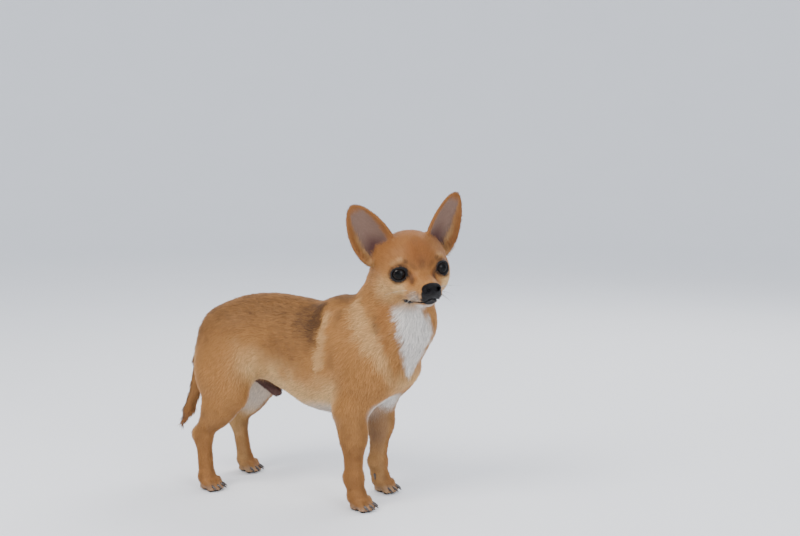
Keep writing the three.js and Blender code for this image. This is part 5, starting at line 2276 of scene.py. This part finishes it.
@dataclass
class Nose:
    """The nose leather with its nostrils."""

    step: float = 0.45

    def build(self) -> None:
        """Builds the nose and sets it in place of its node."""
        low, high = NOSE + vec(-10, -12.5, -14), NOSE + vec(10, 12.5, 10)
        block = Lattice(*[grid_lines(low[n], (high[n], self.step)) for n in range(3)])
        block.add(Egg(NOSE + vec(0, 0, 0.7), (7.5, 10.0, 6.3)), 1)
        block.add(Egg(NOSE + vec(-2.2, 0, -6), (4.4, 3.6, 6.0)), 2.5)
        for s in BOTH:
            block.add(Egg(NOSE + vec(1.5, s * 5.6, 0.5), (5.4, 4.6, 5.0)), 1.5)
        for s in BOTH:
            block.carve(Limb(NOSE + vec(8.2, s * 4.4, 0.2), NOSE + vec(2, s * 6.4, 1.0), 2.2, 1.7), 0.8)
            block.carve(Limb(NOSE + vec(7.5, s * 5.2, -1.2), NOSE + vec(3.5, s * 9.6, -2.0), 1.0, 0.7), 0.6)
        block.carve(Limb(NOSE + vec(8.2, 0, 0), NOSE + vec(4.6, 0, -13), 0.55, 0.55), 0.9)
        points, faces = block.surface()
        piece = make_object("nose_leather", HEAD.to_body(points), faces)
        finish_piece(piece, NoseFinish().material(), "nose_leather", "nose")


@dataclass
class Claws:
    """The claws of all four paws: curved, pointed horns."""

    rings: int = 9
    sides: int = 12
    thickness: float = 2.0
    rise: float = 2.6

    def horn(self, root: Array, ahead: Array, length: float) -> tuple[Array, Array]:
        """Draws one claw.

        Args:
            root: The middle of its root.
            ahead: The way it points.
            length: Its length, in mm.

        Returns:
            Its points and triangles.
        """
        across = unit(vec(-ahead[1], ahead[0], 0))
        up = np.cross(ahead, across)
        t = np.repeat(np.arange(self.rings) / self.rings, self.sides)
        a = np.tile(np.arange(self.sides) * 2 * math.pi / self.sides, self.rings)
        spine = root + np.outer(length * t, ahead) + np.outer(-CLAW_CURVE * length * t * t, up)
        radius = self.thickness * (1 - CLAW_TAPER * t**1.4) * (1 - 0.5 * ease(t, 0.8, 1.2))
        ring = np.outer(np.cos(a) * radius * CLAW_FLATNESS, across) + np.outer(np.sin(a) * radius, up)
        tip = root + ahead * length * 0.98 - up * CLAW_CURVE * length
        points = np.concatenate([spine + ring, [root - ahead * 0.2], [tip]])
        return points, closed_tube(self.rings, self.sides)[:, ::-1]

    def build(self, anatomy: Anatomy) -> None:
        """Builds each claw and sets it in place of its node.

        Args:
            anatomy: The dog's forms, whose toes carry the claws.
        """
        material = ClawFinish().material()
        for word, side in SIDES.items():
            for name, leg in (("fore", anatomy.fore[side]), ("hind", anatomy.hind[side])):
                places = []
                for toe in TOES:
                    _, _, tip, ahead = leg.toe(toe)
                    places.append((tip + ahead * TOE_RADIUS * 0.2 + vec(0, 0, self.rise), ahead, CLAW_LENGTH))
                if isinstance(leg, Foreleg):
                    places.append((*leg.thumb_claw(), DEWCLAW_LENGTH))
                for number, place in enumerate(places):
                    piece = make_object(f"horn_{name}_{word}_{number + 1}", *self.horn(*place))
                    finish_piece(piece, material, "claw", f"claw_{name}_{word}_{number + 1}")


@dataclass
class Whiskers:
    """Long stiff hairs on the muzzle and cheeks."""

    sides: int = 4
    steps: int = 9
    seed: int = 5
    radius: float = 0.15
    taper: float = 0.85
    depth: float = 3.0
    bend: Point = (-0.32, 0, -0.30)

    def places(self) -> list[tuple[Array, Array, float, float]]:
        """Draws where the whiskers grow: three rows on each side of the muzzle, and one at each brow.

        Returns:
            The root, direction, length and shade of each.
        """
        rng = np.random.default_rng(self.seed)
        places = []
        for s in BOTH:
            for row in range(3):
                for n in range(6):
                    root = vec(20 - 3.3 * n, s * (11.0 + 1.0 * n), -16.6 - 3.3 * row)
                    way = unit(vec(0.3 - 0.2 * n, s * 1.0, 0.16 - 0.3 * row) + rng.normal(0, 0.12, 3))
                    places.append((root, way, rng.uniform(14, 34)))
            places.append((vec(4, s * 15, 16), unit(vec(0.8, s * 0.5, 0.9)), 14.0))
        return [(*place, rng.random()) for place in places]

    def hair(self, root: Array, way: Array, size: float, shade: float) -> tuple[Array, Array, Array]:
        """Draws one whisker.

        Args:
            root: Where it grows, in the head's frame.
            way: Its direction at the root.
            size: Its length, in mm.
            shade: Its random value, for its colour.

        Returns:
            Its points ring by ring, and how far along it and of which shade each is.
        """
        t = np.repeat(np.linspace(0, 1, self.steps + 1), self.sides)
        a = np.tile(np.arange(self.sides) * 2 * math.pi / self.sides, self.steps + 1)
        side = unit(np.cross(way, vec(0, 0, 1)))
        spine = root - way * self.depth + np.outer(t * size, way) + np.outer(t**2, np.array(self.bend) * size)
        radius = self.radius * (1 - self.taper * t)
        ring = np.outer(np.cos(a) * radius, side) + np.outer(np.sin(a) * radius, np.cross(side, way))
        return spine + ring, t, np.full(len(t), shade)

    def faces(self) -> Array:
        """Joins the points of one whisker.

        Returns:
            Its four-sided faces.
        """
        j = np.arange(self.sides)
        m = (j + 1) % self.sides
        ring = np.stack([j, j + self.sides, m + self.sides, m], 1)
        rings = [ring + k * self.sides for k in range(self.steps)]
        return np.concatenate([*rings, [j, (j + self.steps * self.sides)[::-1]]])

    def build(self) -> None:
        """Builds the whiskers as one piece."""
        hairs = [self.hair(*place) for place in self.places()]
        count = (self.steps + 1) * self.sides
        faces = np.concatenate([self.faces() + n * count for n in range(len(hairs))])
        points, along, pick = (np.concatenate(parts) for parts in zip(*hairs))
        piece = make_object("whiskers", HEAD.to_body(points), faces)
        paint(piece, "tuft", np.stack([along, pick, 0 * along, 0 * along], 1))
        finish_piece(piece, WhiskerFinish().material(), "coat_cream")


@dataclass(frozen=True)
class Studio:
    """A plain pale floor, soft studio light, and the camera at the photograph's angle."""

    eye: Point = (611.6, -1036.2, 362.0)
    yaw: float = 25.0
    tilt: float = 4.9
    lens: float = 47.25
    sensor: float = 36.0
    clip: tuple[float, float] = (0.01, 50.0)
    aim: Point = (0.02, 0, 0.17)
    sky: Colour = (0.86, 0.91, 1.0)
    sky_strength: float = 1.25
    room: float = 4200.0
    sweep: float = 2200.0
    sides: int = 96
    bends: int = 25

    def camera(self) -> None:
        """Places the camera."""
        data = bpy.data.cameras.new("camera")
        data.lens, data.sensor_width = self.lens, self.sensor
        data.clip_start, data.clip_end = self.clip
        camera = bpy.data.objects.new("camera", data)
        bpy.context.scene.collection.objects.link(camera)
        camera.location = to_metres(np.array(self.eye)).tolist()
        camera.rotation_euler = (math.radians(90 - self.tilt), 0, math.radians(self.yaw))
        bpy.context.scene.camera = camera

    def floor(self) -> None:
        """Lays a round floor, whose rim sweeps up softly far from the dog."""
        bends = np.linspace(0, math.pi / 2, self.bends)
        rim = self.room + self.sweep
        out = np.array([0.3 * self.room, *self.room + self.sweep * np.sin(bends), rim])
        high = np.array([0, *self.sweep * (1 - np.cos(bends)), 1.6 * self.sweep])
        turn = np.tile(np.linspace(0, 2 * math.pi, self.sides, endpoint=False), len(out))
        out, high = np.repeat(out, self.sides), np.repeat(high, self.sides)
        points = SHIFT + np.stack([out * np.cos(turn), out * np.sin(turn), high], 1)
        faces = np.concatenate([fan(len(points), 0, self.sides), tube(self.bends + 2, self.sides)])
        floor = make_object("floor", np.concatenate([points, [SHIFT]]), faces)
        floor.data.materials.append(FloorFinish().material())

    def lamp(self, name: str, place: Point, size: float, power: float, colour: Colour) -> None:
        """Hangs a soft lamp that looks at the dog.

        Args:
            name: The lamp.
            place: Where it hangs, in metres.
            size: How wide it is, in metres.
            power: Its power, in watts.
            colour: Its colour.
        """
        data = bpy.data.lights.new(name, "AREA")
        data.shape, data.size, data.energy, data.color = "DISK", size, power, colour
        lamp = bpy.data.objects.new(name, data)
        bpy.context.scene.collection.objects.link(lamp)
        lamp.location = place
        way = Vector(self.aim) - Vector(place)
        lamp.rotation_euler = way.to_track_quat("-Z", "Y").to_euler()

    def light(self) -> None:
        """Lights the dog softly from the front and above."""
        world = bpy.data.worlds.new("soft_room")
        world.use_nodes = True
        background = world.node_tree.nodes["Background"].inputs
        background[0].default_value = (*self.sky, 1)
        background[1].default_value = self.sky_strength
        bpy.context.scene.world = world
        self.lamp("key", (-0.5, -1.5, 1.7), 1.1, 40.0, (1.0, 0.97, 0.93))
        self.lamp("fill", (1.7, -0.9, 0.9), 1.2, 16.0, (0.95, 0.97, 1.0))
        self.lamp("back", (0.3, 1.4, 1.6), 1.2, 20.0, (1.0, 0.98, 0.95))


PAIRED_NODES = ("ear", "foreleg", "forepaw", "thigh", "hock", "hindpaw")
FLESH_NODES = (
    "torso", "neck", "head", "lower_jaw", "tail", "sheath",
    *[f"{part}_{word}" for part in PAIRED_NODES for word in SIDES],
)
FINE_GRID, COARSE_GRID, TUFTS = (1.0, 1.6), (2.0, 3.0), (146000, 40000)


def main() -> None:
    """Builds the dog, its room and the camera."""
    logging.basicConfig(level=logging.INFO, format="%(message)s")
    studio = Studio()
    studio.camera()
    studio.floor()
    studio.light()
    anatomy = Anatomy()
    rough = int(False)
    skin = Skin(anatomy, fine=FINE_GRID[rough], coarse=COARSE_GRID[rough])
    finish_piece(skin.draw(), SkinFinish().material(), "coat_tan", *FLESH_NODES)
    Coat(skin, tufts=TUFTS[rough]).grow()
    Eyes().build()
    Nose().build()
    Claws().build(anatomy)
    Whiskers().build()


if __name__ == "__main__":
    main()
